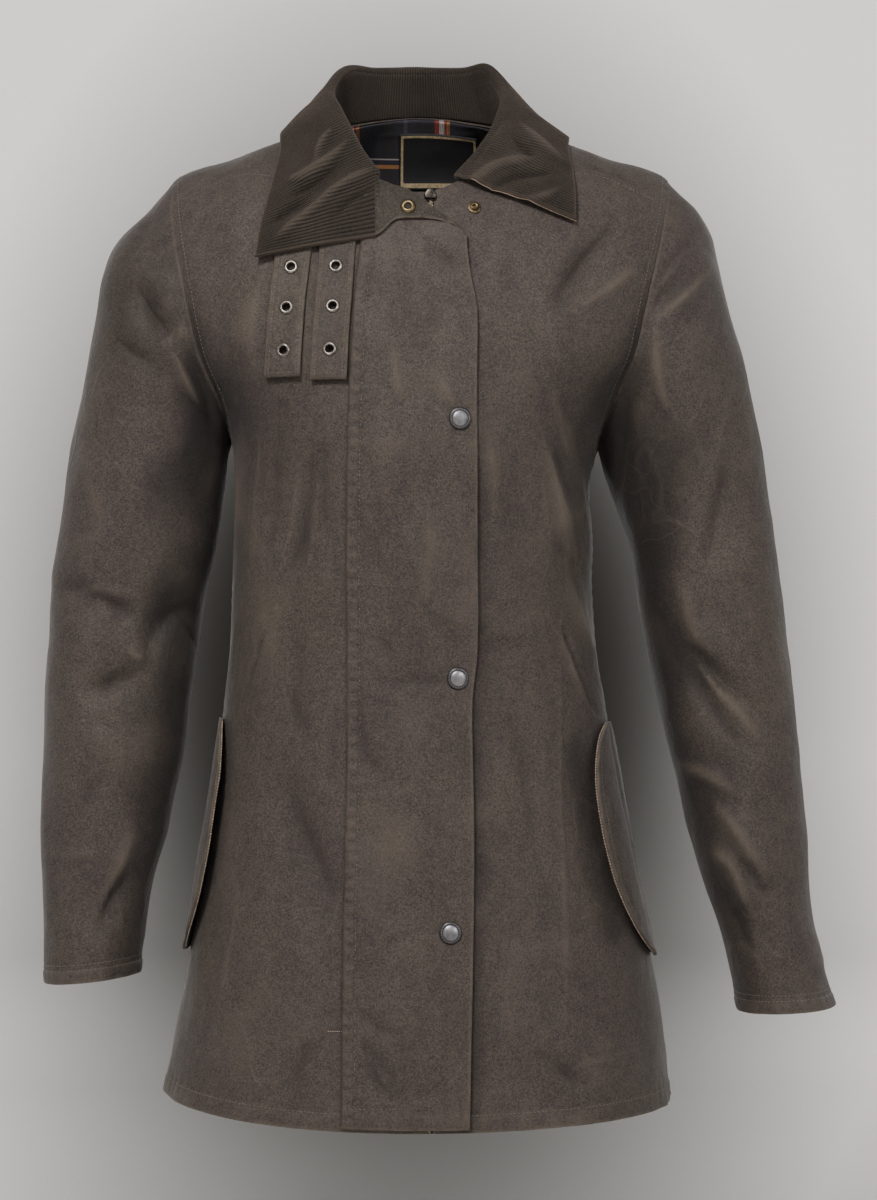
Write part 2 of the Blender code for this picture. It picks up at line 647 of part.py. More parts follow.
# ================================================================ what lies on the front
def placket_grid(columns, rows):
    """Places over the front, seen from the front, and the share across from the sewn to the free edge."""
    across = np.linspace(0, 1, columns)
    down = np.linspace(0, 1, rows)[:, None]
    sewn_top, free_top = PLACKET_TOP[0][0], PLACKET_TOP[-1][0]
    top_x = sewn_top + (free_top - sewn_top) * across
    (top_z,) = read_along(PLACKET_TOP, top_x)
    sewn_hem, free_hem = PLACKET_EDGES[-1][1:]
    hem_x = sewn_hem + (free_hem - sewn_hem) * across
    hem_ring = np.zeros(columns) + 0.03
    hem_turn = zip_turn(hem_ring, hem_x)
    hem_z = bare_body(hem_turn, hem_ring)[..., 2] / MM
    z = top_z + (hem_z - top_z) * down
    sewn_x, free_x = read_along(PLACKET_EDGES, z)
    x = sewn_x + (free_x - sewn_x) * across
    keep_top = np.clip(1 - down * 12, 0, 1)
    return x + (top_x - x) * keep_top, z, np.broadcast_to(across, z.shape)


def placket_lift(share):
    return PLACKET_LIFT + PLACKET_STAND_OFF * share


def make_placket(wax):
    x, z, share = placket_grid(8, 24)
    low = placket_lift(share)
    grid_wall("storm_placket", on_front(x, z, low + CLOTH), on_front(x, z, low), wax)


def make_turned_corner(facing):
    """The top corner of the placket, folded outward so that its inside shows."""
    left, right = TURNED_CORNER[0][0], TURNED_CORNER[-1][0]
    x = np.linspace(left, right, 9)
    fold_z, edge_z = read_along(TURNED_CORNER, x)
    down = np.array((0.0, 0.06, 0.16, 0.45, 0.75, 1.0))[:, None]
    lift = np.array((3.4, 5.2, CORNER_LIFT, CORNER_LIFT, CORNER_LIFT, CORNER_LIFT))[:, None]
    z = fold_z + (edge_z - fold_z) * down
    grid_x = np.broadcast_to(x, z.shape)
    grid_wall("turned_corner", on_front(grid_x, z, lift), on_front(grid_x, z, lift - CORNER), facing)


def front_normal(x, z):
    return on_front(x, z, 1.0) - on_front(x, z, 0.0)


def make_strap(name, line, wax, nickel):
    """A throat tab with three holes, and the eyelets in them."""
    heights = [line[0][0]]
    heights += [(a + b) / 2 for a, b in zip(EYELET_HEIGHTS, EYELET_HEIGHTS[1:])]
    heights += [line[-1][0]]
    hole = EYELET_RADIUS - 2.0 + SEAM
    points, faces, index = [], [], {}

    def point(x, z):
        key = (round(x, 3), round(z, 3))
        if key not in index:
            index[key] = len(points)
            points.append(key)
        return index[key]

    def centre(z):
        return float(read_along(line, z)[0])

    steps = 12
    for top, bottom, middle in zip(heights, heights[1:], EYELET_HEIGHTS):
        frame, ring = [], []
        for step in range(steps):
            edge, along = divmod(step, 3)
            corner = ((-1, 1), (1, 1), (1, -1), (-1, -1))
            a, b = corner[edge], corner[(edge + 1) % 4]
            across = (a[0] + (b[0] - a[0]) * along / 3) / 2
            height = (a[1] + (b[1] - a[1]) * along / 3 + 1) / 2
            z = bottom + (top - bottom) * height
            frame.append(point(centre(z) + across * STRAP_WIDTH, z))
            angle = math.radians(135 - 360 * step / steps)
            ring.append(point(centre(middle) + hole * math.cos(angle), middle + hole * math.sin(angle)))
        for step in range(steps):
            after = (step + 1) % steps
            faces.append((frame[step], frame[after], ring[after], ring[step]))
    flat = np.array(points)
    low = STRAP_LIFT
    outer = on_front(flat[:, 0], flat[:, 1], low + STRAP_THICKNESS)
    inner = on_front(flat[:, 0], flat[:, 1], low)
    wall(name, outer, inner, faces, wax)
    barrel = EYELET_RADIUS - 2.0
    flange = ((EYELET_HOLE, -STRAP_THICKNESS), (EYELET_HOLE, 0.9), (EYELET_HOLE + 0.9, 1.25),
              (EYELET_RADIUS - 0.7, 1.0), (EYELET_RADIUS, SEAM), (barrel, SEAM), (barrel, -STRAP_THICKNESS))
    for number, z in enumerate(EYELET_HEIGHTS, 1):
        seat = on_front(centre(z), z, low + STRAP_THICKNESS)
        turned(f"{name}_eyelet_{number}", flange, 12, seat, front_normal(centre(z), z), nickel, closed=True)


def make_snaps(gunmetal, brass):
    cap = ((0, 3.0), (3.6, 2.9), (6.0, 2.4), (7.2, 1.8), (8.0, 1.8), (SNAP_RADIUS, 1.2),
           (SNAP_RADIUS, SEAM), (0, SEAM))
    for number, (x, z) in enumerate(zip(SNAP_X, SNAP_HEIGHTS), 1):
        sewn_x, free_x = read_along(PLACKET_EDGES, z)
        share = (x - sewn_x) / (free_x - sewn_x)
        seat = on_front(x, z, placket_lift(share) + CLOTH + 0.05)
        turned(f"snap_cap_{number}", cap, 16, seat, front_normal(x, z), gunmetal)
    socket = ((2.4, SEAM), (2.4, 1.4), (3.6, 1.8), (5.2, 1.3), (6.0, SEAM))
    x, z = SOCKET_PLACE
    seat = on_front(x, z, CORNER_LIFT)
    turned("neck_snap_socket", socket, 16, seat, front_normal(x, z), brass, closed=True)
    stud = ((0, 3.2), (1.6, 3.0), (2.0, 1.4), (3.4, 1.1), (4.6, 1.2), (5.2, SEAM), (0, SEAM))
    x, z = STUD_PLACE
    seat = on_front(x, z, 0.0)
    turned("neck_snap_stud", stud, 16, seat, front_normal(x, z), brass)


def make_zip(tape, nickel):
    rows = np.linspace(0.0, NECK - 0.25, 20)
    left = body(zip_turn(rows, ZIP_X - ZIP_WIDTH / 2), rows)
    right = body(zip_turn(rows, ZIP_X + ZIP_WIDTH / 2), rows)
    left_low = body(zip_turn(rows, ZIP_X - ZIP_WIDTH / 2), rows, -CLOTH)
    right_low = body(zip_turn(rows, ZIP_X + ZIP_WIDTH / 2), rows, -CLOTH)
    grid_wall("zip_chain", np.stack((left, right), 1), np.stack((left_low, right_low), 1), tape)
    outline = ((-4.2, -75.0), (4.2, -75.0), (5.0, -71.0), (2.6, -67.8), (0.0, -66.6),
               (-2.6, -67.8), (-5.0, -71.0))
    seat_turn, seat_ring = find_on_front(ZIP_X, -72.0)
    seat = body(seat_turn, seat_ring, SEAM)
    out = unit(body(seat_turn, seat_ring, 1.0) - body(seat_turn, seat_ring, 0.0))
    back_face = [seat + np.array((x, 0, z + 72.0)) * MM for x, z in outline]
    back_face = [point + out * max(0.0, -((point - seat) @ out)) for point in back_face]
    front_face = [point + out * 2.6 * MM for point in back_face]
    count = len(outline)
    faces = [tuple(range(count)), tuple(range(2 * count - 1, count - 1, -1))]
    faces += [(i, i + count, (i + 1) % count + count, (i + 1) % count) for i in range(count)]
    add_object("zip_slider", back_face + front_face, faces, nickel)


def make_flap(name, table, wax):
    """A pocket flap: sewn down behind, its rounded edge free and standing off towards the front."""
    table = np.asarray(table, float)
    down = np.linspace(0, len(table) - 1, 12)
    z, sewn, free, stand_off = np.moveaxis(smooth(table, down), -1, 0)
    share = np.linspace(0, 1, 7)
    turn = sewn[:, None] + (free - sewn)[:, None] * share
    side_z = RING_VALUES[:, 1] if sewn[0] < 0 else RING_VALUES[:, 2]
    ring = np.repeat(np.interp(z, side_z, np.arange(len(side_z)))[:, None], len(share), 1)
    lift = 0.5 + stand_off[:, None] * share**1.6
    grid_wall(name, body(turn, ring, lift + FLAP_THICKNESS), body(turn, ring, lift), wax)


def lining_foot(turn):
    """The lining's lower edge: deep behind the neck, above the armholes at the sides."""
    return 8.0 + 1.45 * np.sin(np.radians(turn))**2


def make_lining(tartan, label_cloth):
    turn = np.linspace(LINING_TURN, 360 - LINING_TURN, 27)
    share = np.linspace(0, 1, 9)[:, None]
    foot = lining_foot(turn)
    ring = foot + (NECK - 0.01 - foot) * share
    grid_turn = np.broadcast_to(turn, ring.shape)
    grid_wall("neck_lining", body(grid_turn, ring, -LINING_DEPTH),
              body(grid_turn, ring, -LINING_DEPTH - LINING), tartan)
    ring = np.linspace(*LABEL_RISE, 5)[:, None]
    x = np.linspace(*LABEL_X, 7)
    turn = 180 - zip_turn(ring, x)
    ring = np.broadcast_to(ring, turn.shape)
    under = -LINING_DEPTH - LINING - 3 * SEAM
    grid_wall("neck_label", body(turn, ring, under), body(turn, ring, under - LABEL), label_cloth)


# ================================================================ the jacket
def main():
    for old in list(bpy.data.objects):
        bpy.data.objects.remove(old)
    wax = material("wax_cotton", (0.105, 0.084, 0.068), 0.55)
    facing = material("facing_cotton", (0.125, 0.102, 0.080), 0.6)
    corduroy = material("corduroy", (0.046, 0.032, 0.024), 0.85)
    tartan = material("tartan_lining", (0.024, 0.018, 0.022), 0.8)
    label_cloth = material("label_satin", (0.012, 0.011, 0.012), 0.55)
    gunmetal = material("gunmetal", (0.32, 0.31, 0.31), 0.3, 1.0)
    brass = material("aged_brass", (0.42, 0.32, 0.16), 0.35, 1.0)
    nickel = material("nickel", (0.55, 0.52, 0.48), 0.3, 1.0)
    zip_tape = material("zip_teeth", (0.10, 0.08, 0.05), 0.45, 0.6)

    make_body(wax)
    make_sleeve("sleeve_right", -1, SLEEVE_RIGHT, wax)
    make_sleeve("sleeve_left", 1, SLEEVE_LEFT, wax)
    make_collar(corduroy)
    make_placket(wax)
    make_turned_corner(facing)
    for name, line in STRAP_LINES.items():
        make_strap(name, line, wax, nickel)
    make_snaps(gunmetal, brass)
    make_zip(zip_tape, nickel)
    make_flap("pocket_flap_right", FLAP_RIGHT, wax)
    make_flap("pocket_flap_left", FLAP_LEFT, wax)
    make_lining(tartan, label_cloth)


main()
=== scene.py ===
# %% [markdown]
# # A waxed cotton jacket
#
# A hip-length waxed cotton jacket in its worn shape, with a corduroy collar and an unseen wearer. The
# solids give the cut pieces and their places. This notebook dresses each of them in finer cloth: the
# creases, seams, stitches, ribs and metal that make cloth look like cloth.
#
# Lengths in the tables are in millimetres and angles in degrees; meshes are in metres. The front faces
# -Y, the wearer's left is +X, and the origin is the middle of the neck base.

# %% Load the solids
import math

import bmesh
import bpy
import numpy as np
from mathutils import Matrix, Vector, noise


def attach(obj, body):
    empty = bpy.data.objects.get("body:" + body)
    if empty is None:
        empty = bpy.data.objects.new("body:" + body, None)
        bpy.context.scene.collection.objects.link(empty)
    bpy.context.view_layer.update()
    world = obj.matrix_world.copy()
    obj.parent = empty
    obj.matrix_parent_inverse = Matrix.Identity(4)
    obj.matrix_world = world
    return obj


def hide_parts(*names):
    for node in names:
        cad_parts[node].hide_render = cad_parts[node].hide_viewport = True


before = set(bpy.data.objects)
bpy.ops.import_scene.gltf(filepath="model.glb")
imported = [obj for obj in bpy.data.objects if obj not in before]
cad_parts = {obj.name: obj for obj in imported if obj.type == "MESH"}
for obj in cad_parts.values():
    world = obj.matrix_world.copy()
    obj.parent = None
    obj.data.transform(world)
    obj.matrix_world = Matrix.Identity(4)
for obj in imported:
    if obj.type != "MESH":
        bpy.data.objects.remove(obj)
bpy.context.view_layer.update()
MM = 0.001
CLOTH = 2.0
CORDUROY = 2.4
SEAM = 0.3
print("solids:", len(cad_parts))

# %% [markdown]
# ## The form under the cloth
#
# The solids were made from a few tables: rings round the body, sections down each sleeve and stations
# along the collar. Repeating the tables here, and not copying the solids' coarse meshes, lets each piece
# be drawn again on exactly the same form with as many points as its creases need.

# %% The body's rings and the sleeves' sections
BODY_RINGS = (
    # z_front, z_right, z_left, z_back, x_right, x_left, y_front, y_back, roundness, dip
    (-787, -771, -780, -778, -202, 201, -148, 142, 2.40, 2.0),
    (-712, -700, -703, -703, -188, 192, -141, 136, 2.35, 2.0),
    (-610, -600, -600, -603, -172, 173, -130, 126, 2.30, 2.0),
    (-518, -510, -510, -512, -159, 156, -122, 112, 2.30, 2.0),
    (-437, -430, -430, -430, -151, 144, -117, 103, 2.30, 2.0),
    (-358, -350, -350, -348, -147, 139, -122, 104, 2.30, 2.0),
    (-272, -256, -262, -255, -149, 144, -127, 110, 2.25, 2.0),
    (-205, -172, -175, -165, -202, 200, -122, 116, 2.20, 2.0),
    (-158, -100, -100, -88, -219, 219, -112, 117, 2.15, 2.0),
    (-125, -50, -49, -36, -195, 199, -104, 107, 2.10, 2.0),
    (-99, -29, -30, -8, -139, 145, -97, 93, 2.05, 2.3),
    (-68, -5, -5, 13, -77, 78, -86, 78, 2.00, 1.9),
)
RING_VALUES = np.array(BODY_RINGS, float)
ARMPIT, SHOULDER, NECK = 6, 9, 11
ARMHOLE_TURN = 35.0
SEAM_TURN = 0.1
ZIP_X = 10.0
ZIP_WIDTH = 4.8
SLEEVE_RIGHT = (
    # outer_x, outer_z, inner_x, inner_z, depth, y_middle, roundness
    (-195, -50, -149.0, -256, 68, 0, 2.00),
    (-213, -70, -150.5, -262, 69, 0, 2.02),
    (-240, -95, -151.5, -267, 69, 0, 2.05),
    (-251, -122, -152.5, -273, 68, 0, 2.08),
    (-257, -158, -153.5, -280, 67, 0, 2.10),
    (-265, -202, -155.0, -291, 65, 1, 2.10),
    (-275, -250, -157.0, -309, 63, 2, 2.15),
    (-285, -314, -161.0, -345, 61, 2, 2.20),
    (-293, -382, -172.5, -392, 59, 0, 2.20),
    (-296, -442, -180.0, -448, 57, -4, 2.20),
    (-298, -505, -187.0, -506, 55, -9, 2.20),
    (-300, -567, -198.0, -562, 53, -14, 2.15),
    (-298, -624, -211.0, -614, 51, -18, 2.10),
    (-296, -666, -218.5, -656, 50, -21, 2.10),
    (-295, -686, -219.5, -678, 50, -22, 2.10),
)
SLEEVE_LEFT = (
    (199, -49, 144.0, -262, 68, 0, 2.00),
    (215, -66, 145.5, -268, 69, 0, 2.02),
    (234, -92, 146.5, -273, 69, 0, 2.05),
    (243, -125, 148.0, -279, 68, 0, 2.08),
    (251, -160, 150.0, -286, 67, 0, 2.10),
    (262, -202, 154.0, -297, 65, 1, 2.10),
    (272, -250, 160.0, -314, 63, 2, 2.15),
    (283, -314, 169.0, -346, 61, 2, 2.20),
    (291, -384, 178.5, -396, 59, 0, 2.20),
    (298, -446, 189.5, -456, 57, -4, 2.20),
    (304, -510, 203.5, -517, 55, -9, 2.20),
    (309, -572, 217.0, -573, 53, -14, 2.15),
    (313, -634, 235.5, -632, 51, -18, 2.10),
    (323, -680, 248.5, -680, 50, -21, 2.10),
    (330, -704, 253.0, -708, 50, -22, 2.10),
)
CAP_SECTIONS = 3.0
print("rings:", len(BODY_RINGS), "sleeve sections:", len(SLEEVE_RIGHT))

# %% Reading a table as a smooth curve


def smooth(rows, at):
    """Read a table as one smooth curve through its rows; at counts rows, 0 for the first."""
    rows = np.asarray(rows, float)
    slopes = np.gradient(rows, axis=0)
    at = np.clip(np.asarray(at, float), 0, len(rows) - 1)
    below = np.minimum(at.astype(int), len(rows) - 2)
    t = (at - below)[..., None]
    first = (2 * t**3 - 3 * t**2 + 1) * rows[below] + (t**3 - 2 * t**2 + t) * slopes[below]
    second = (3 * t**2 - 2 * t**3) * rows[below + 1] + (t**3 - t**2) * slopes[below + 1]
    return first + second


def read_along(rows, key):
    """Read the other columns of a table whose first column rises or falls steadily."""
    rows = np.asarray(rows, float)
    rows = rows[np.argsort(rows[:, 0])]
    places = np.interp(key, rows[:, 0], np.arange(len(rows)))
    return np.moveaxis(smooth(rows[:, 1:], places), -1, 0)


def unit(vectors):
    return vectors / np.linalg.norm(vectors, axis=-1, keepdims=True)


def bump(distance, width):
    """1 at no distance, fading to nothing over a few widths."""
    return np.exp(-(distance / width) ** 2)


def step_up(value, low, high):
    """0 below low, 1 above high, and a soft slope between."""
    t = np.clip((value - low) / (high - low), 0, 1)
    return t * t * (3 - 2 * t)


waist = smooth(RING_VALUES, 5.5)
print("half-way up, the body reaches from", round(waist[4]), "to", round(waist[5]), "mm across")


# %% [markdown]
# ## Creases
#
# Waxed cotton is stiff. It doesn't drape: it buckles into long soft troughs with a raised shoulder on
# each side, which keep their places as the coat is worn. A simulation rarely puts them where the real
# ones are, so each crease is a short line, seen from the front or the back, with its own width and
# depth. The large folds of the solids come first in each table, with the same numbers.

# %% Where the creases run
BODY_FOLDS_FRONT = (
    # x0, z0, x1, z1, bow, width, rise
    (105, -215, 134, -318, 5, 13, -4.5),
    (110, -330, 140, -425, 4, 13, -3.5),
    (-84, -260, -104, -400, -6, 17, -4.5),
    (-120, -500, -72, -640, 6, 19, -4.0),
    (112, -158, 166, -98, 6, 15, -4.5),
    (-166, -84, -146, -134, -4, 14, -3.0),
    (56, -735, 118, -790, 4, 18, -3.0),
)
BODY_FOLDS_BACK = (
    (-70, -150, 70, -165, 10, 24, -4.0),
    (-125, -300, -60, -420, 8, 20, -5.0),
    (125, -300, 65, -415, -8, 20, -5.0),
    (-95, -520, -72, -700, 6, 24, -5.0),
    (82, -500, 98, -690, -8, 24, -5.0),
)
SLEEVE_FOLDS_FRONT = (
    (-226, -132, -180, -182, -5, 14, -8.0),
    (-212, -182, -168, -212, 5, 12, 4.5),
    (-292, -370, -218, -392, -5, 14, -7.0),
    (-180, -384, -214, -430, -8, 13, -6.5),
    (-214, -432, -264, -462, 6, 15, -6.5),
    (-230, -590, -260, -645, 5, 16, -4.5),
    (242, -90, 152, -190, -5, 13, -8.0),
    (232, -110, 168, -184, 5, 11, 4.5),
    (252, -285, 232, -360, 7, 15, -6.0),
    (210, -424, 280, -508, 7, 14, -8.0),
    (214, -404, 270, -478, 5, 12, 4.5),
    (238, -540, 278, -610, 6, 13, 5.0),
    (252, -620, 270, -662, 4, 13, -5.0),
)
SLEEVE_FOLDS_BACK = (
    (-285, -330, -200, -372, 8, 16, -7.0),
    (-290, -400, -210, -430, -6, 15, -6.5),
    (-285, -470, -215, -500, 6, 16, -5.0),
    (-235, -120, -175, -200, 6, 17, -6.0),
    (278, -330, 200, -372, -8, 16, -7.0),
    (290, -410, 212, -436, 6, 15, -6.5),
    (295, -480, 225, -512, -6, 16, -5.0),
    (232, -120, 172, -200, -6, 17, -6.0),
)
# A crease: its width, its rise, and the x and z of each point that it runs through.
FRONT_CREASES = (
    # the wearer's left chest, waist and skirt
    (9, -2.7, 154, -90, 128, -122, 103, -159),
    (8, 2.1, 112, -166, 144, -146, 172, -124),
    (8, 2.2, 92, -245, 109, -300, 116, -334, 123, -356),
    (8, -2.4, 104, -258, 127, -316),
    (7, 1.8, 103, -219, 130, -300),
    (10, 2.4, 117, -358, 128, -395, 139, -427),
    (8, -1.5, 59, -418, 72, -420, 85, -418),
    (8, -1.7, 47, -580, 51, -597, 59, -612),
    (7, -2.1, 108, -733, 117, -745, 126, -757),
    (9, -2.1, 88, -722, 104, -738, 123, -752),
    (11, -1.8, 70, -470, 84, -520, 88, -590),
    (10, 1.5, 52, -250, 60, -300, 58, -350),
    (2.6, 0.9, 107, -233, 123, -260, 132, -294, 134, -325),
    (2.6, 0.9, 100, -262, 107, -294, 118, -325, 128, -361, 134, -390),
    (2.4, 0.8, 92, -258, 100, -318, 112, -372),
    # the wearer's right chest, waist and skirt
    (2.6, 0.9, -92, -262, -98, -318, -112, -372),
    (2.6, 0.8, -118, -236, -126, -300, -128, -352),
    (2.4, 0.7, -76, -268, -80, -330, -92, -392),
    (10, -2.7, -79, -252, -88, -323, -95, -346, -107, -369),
    (9, -2.4, -107, -242, -114, -318, -120, -363),
    (8, -2, -72, -257, -72, -323, -65, -341),
    (8, 2.4, -139, -257, -141, -296, -141, -336),
    (9, -2.2, -101, -533, -85, -564, -70, -597, -60, -616),
    (8, -1.5, -61, -485, -66, -508, -70, -528),
    (8, -1.7, -98, -452, -94, -470, -89, -488),
    (9, -2.4, -101, -756, -90, -740, -75, -718),
    (12, 1.5, -120, -130, -128, -180, -120, -230),
    (11, -1.5, -100, -395, -92, -430, -96, -470),
    # the storm placket
    (7, -2.2, 5, -108, 18, -120, 30, -134),
    (6, 1.2, -18, -186, -16, -210, -11, -232),
    (6, 1.2, 18, -216, 23, -227, 29, -237),
    (7, -1.7, -41, -412, -26, -417, -15, -435),
    (7, -1.7, -30, -449, -4, -446, 25, -449),
    (7, -1.8, -44, -459, -39, -502, -27, -517),
    (6, -1.4, -13, -536, -6, -543, 2, -547),
    (7, -1.5, -25, -650, -16, -644, -6, -635),
    (7, -2.1, -42, -718, -36, -736, -27, -752, -15, -766),
    (7, -1.8, -46, -692, -32, -706, -17, -714),
    (6, -1.7, -44, -714, -26, -736, -11, -764),
    (7, -1.7, 24, -744, 10, -756, -4, -762),
    (9, 1.2, 4, -300, 10, -340, 6, -385),
    # the pocket bags press through as faint ridges
    (2.6, 1.1, 112, -399, 110, -526, 112, -578, 114, -671, 113, -737),
    (2.6, 1, 117, -739, 148, -735, 177, -731),
    (2.6, 1, -138, -597, -140, -628, -148, -664, -152, -692, -155, -727),
    # the pocket openings, and the seams that run forward of the shoulders
    (2.4, -3.9, 113, -405, 126, -437, 141, -474),
    (3.4, 1.7, 108, -406, 121, -438, 136, -476),
    (2.0, -2.2, -118, -408, -128, -438, -140, -470),
    (1.5, -1.4, 100, -48, 139, -45, 191, -66),
    (1.5, -1.4, -100, -48, -139, -45, -187, -66),
)
BACK_CREASES = (
    (12, -2.5, -150, -110, -110, -160, -60, -180),
    (12, -2.5, 150, -112, 112, -158, 66, -182),
    (10, 1.7, -120, -220, -90, -300, -84, -360),
    (10, 1.7, 118, -226, 92, -300, 80, -366),
    (11, -2.2, -40, -400, 0, -412, 46, -398),
    (9, -1.7, -62, -440, -20, -452, 20, -446),
    (12, -2.2, -130, -560, -110, -640, -118, -740),
    (12, -2.2, 128, -552, 112, -650, 124, -744),
    (13, 2, -30, -540, -22, -640, -34, -760),
    (13, 1.8, 34, -520, 28, -610, 40, -750),
    (9, -1.8, -70, -740, -40, -752, -8, -738),
    (8, -1.4, -10, -230, 4, -290, -4, -340),
)
SLEEVE_CREASES_FRONT = (
    # the right sleeve, from its head to its cuff
    (8, -4.2, -220, -139, -208, -161, -191, -177),
    (6, 3.2, -201, -185, -181, -176, -170, -187, -151, -208),
    (8, -3.2, -238, -180, -224, -191, -208, -198),
    (6, 3.5, -189, -191, -180, -214, -167, -237),
    (8, -3.8, -187, -184, -167, -212, -158, -272),
    (6, -1.9, -222, -91, -214, -89, -206, -86),
    (7, -3.5, -285, -376, -272, -374, -259, -371),
    (6, 3.2, -262, -374, -240, -378, -220, -385),
    (7, -3.2, -252, -382, -238, -390, -222, -396),
    (6, 2.2, -229, -421, -221, -427, -213, -431),
    (7, -3.8, -208, -442, -206, -414, -181, -388),
    (8, -4.2, -213, -438, -236, -448, -260, -454),
    (6, -2.6, -259, -485, -248, -479, -236, -489),
    (9, -2.9, -241, -516, -256, -534, -267, -556),
    (5, 1.4, -290, -583, -268, -583, -248, -581),
    (8, 2.9, -220, -561, -238, -604, -255, -644),
    (8, -3.2, -227, -601, -238, -620, -248, -641),
    (2.0, -2.1, -184, -400, -177, -424, -176, -462, -180, -500),
    (12, 1.9, -262, -230, -258, -290, -240, -340),
    (10, -1.9, -218, -262, -208, -310, -212, -352),
    # the left sleeve
    (8, -4.8, 220, -95, 194, -128, 167, -163, 149, -189),
    (6, 3.8, 217, -104, 194, -132, 170, -161),
    (7, -3.8, 227, -118, 204, -138, 182, -156),
    (6, 3.2, 228, -124, 208, -146, 187, -163),
    (10, -5.1, 178, -172, 164, -198, 160, -250, 158, -304),
    (7, 3.2, 185, -166, 186, -196, 192, -226, 213, -258),
    (7, -2.6, 222, -239, 226, -256, 228, -272),
    (9, -3.8, 245, -269, 236, -312, 224, -368),
    (9, 2.9, 206, -368, 212, -392, 220, -414, 240, -437),
    (7, -3.5, 215, -423, 230, -442, 248, -460),
    (6, 4.8, 215, -428, 229, -446, 252, -472, 273, -496),
    (7, -4.8, 213, -437, 227, -463, 245, -487, 262, -503),
    (8, 3.2, 203, -513, 229, -522, 259, -541),
    (8, 3.8, 232, -541, 248, -562, 259, -581, 273, -605),
    (7, -3.5, 250, -586, 262, -602, 273, -619),
    (8, 3.5, 231, -579, 248, -595, 262, -640),
    (8, -3.8, 229, -591, 244, -630, 259, -664),
    (9, 3.2, 309, -645, 319, -662, 314, -678),
    (10, 1.9, 256, -150, 262, -200, 268, -250),
)
SLEEVE_CREASES_BACK = (
    (9, -3.4, -232, -110, -204, -150, -178, -184),
    (8, 2.8, -224, -150, -200, -180, -176, -214),
    (9, -3.4, -280, -350, -250, -362, -206, -380),
    (8, 3.1, -284, -384, -250, -396, -210, -406),
    (9, -3.4, -280, -436, -250, -446, -214, -450),
    (10, -2.8, -270, -540, -250, -580, -236, -630),
    (9, 2.5, -244, -520, -232, -566, -240, -610),
    (9, -3.4, 232, -112, 206, -150, 176, -186),
    (8, 2.8, 228, -150, 204, -180, 178, -212),
    (9, -3.4, 278, -350, 250, -364, 206, -384),
    (8, 3.1, 284, -388, 252, -400, 212, -410),
    (9, -3.4, 288, -440, 262, -452, 222, -456),
    (10, -2.8, 296, -540, 274, -584, 262, -636),
    (9, 2.5, 264, -522, 254, -568, 266, -612),
)
COLLAR_CREASES = (
    (6.4, 4.2, -52, -24, -66, -40, -84, -53, -102, -60),
    (5.7, -3.2, -60, -44, -78, -60, -98, -72),
    (5.7, 3.7, -62, -64, -80, -82, -96, -95, -112, -109),
    (5.7, -2.8, -84, -74, -100, -84, -112, -94),
    (4.9, 3.2, -65, -14, -75, -28, -80, -44),
    (5.7, 3.2, -32, -50, -54, -60, -76, -78),
    (4.9, -2.6, -34, -66, -52, -76, -66, -92),
    (6.4, 4.2, 100, -38, 64, -46, 48, -56, 32, -69),
    (5.7, -3.2, 104, -52, 76, -56, 56, -66),
    (5.7, 3.4, 80, -8, 96, -25, 118, -45),
    (5.7, -2.8, 74, -20, 84, -32, 92, -40),
    (4.9, 2.8, 112, -64, 98, -72, 78, -76),
)
print("creases:", len(FRONT_CREASES) + len(SLEEVE_CREASES_FRONT), "in front")

# %% How far a crease lifts the cloth


def distance_to_path(points, path):
    """Distance of flat points to a path of short straight runs, and how far along it they lie (0 to 1)."""
    start, run = path[:-1], np.diff(path, axis=0)
    away = points[..., None, :] - start
    along = np.clip((away * run).sum(-1) / (run**2).sum(-1), 0, 1)
    gaps = np.linalg.norm(away - along[..., None] * run, axis=-1)
    nearest = gaps.argmin(-1)[..., None]
    share = np.take_along_axis(along, nearest, -1)[..., 0]
    return gaps.min(-1), (nearest[..., 0] + share) / len(run)


def fold_rise(points, folds):
    """The large folds, exactly as the solids have them, in metres."""
    flat = points[..., [0, 2]] / MM
    rise = np.zeros(flat.shape[:-1])
    steps = np.linspace(0, 1, 9)[:, None]
    for x0, z0, x1, z1, bow, width, height in folds:
        start, end = np.array((x0, z0)), np.array((x1, z1))
        side = unit(np.array((z0 - z1, x1 - x0)))
        path = start + (end - start) * steps + side * bow * 4 * steps * (1 - steps)
        gap, along = distance_to_path(flat, path)
        rise += height * np.exp(-(gap / width) ** 2) * np.sin(math.pi * along) ** 0.7
    return rise * MM


def crease_rise(points, creases):
    """The fine creases: each sinks or rises along its line, with a shoulder the other way beside it."""
    flat = points[..., [0, 2]] / MM
    rise = np.zeros(flat.shape[:-1])
    for width, height, *places in creases:
        path = np.reshape(places, (-1, 2))
        path = smooth(path, np.linspace(0, len(path) - 1, 5 * len(path)))
        reach = 2.6 * width
        near = ((flat > path.min(0) - reach) & (flat < path.max(0) + reach)).all(-1)
        if not near.any():
            continue
        gap, along = distance_to_path(flat[near], path)
        swell = np.sin(math.pi * np.clip(along, 0.02, 0.98)) ** 0.6
        away = (gap / (width * (0.6 + 0.4 * swell))) ** 1.25
        rise[near] += 1.25 * height * swell * (1 - 0.6 * away) * np.exp(-away)
    return rise * MM


def ripple(points, size_mm, height_mm):
    """Unplanned unevenness of a given size, in metres."""
    flat = points.reshape(-1, 3) / (size_mm * MM)
    rise = np.array([noise.noise(Vector(place)) for place in flat])
    return rise.reshape(points.shape[:-1]) * height_mm * MM


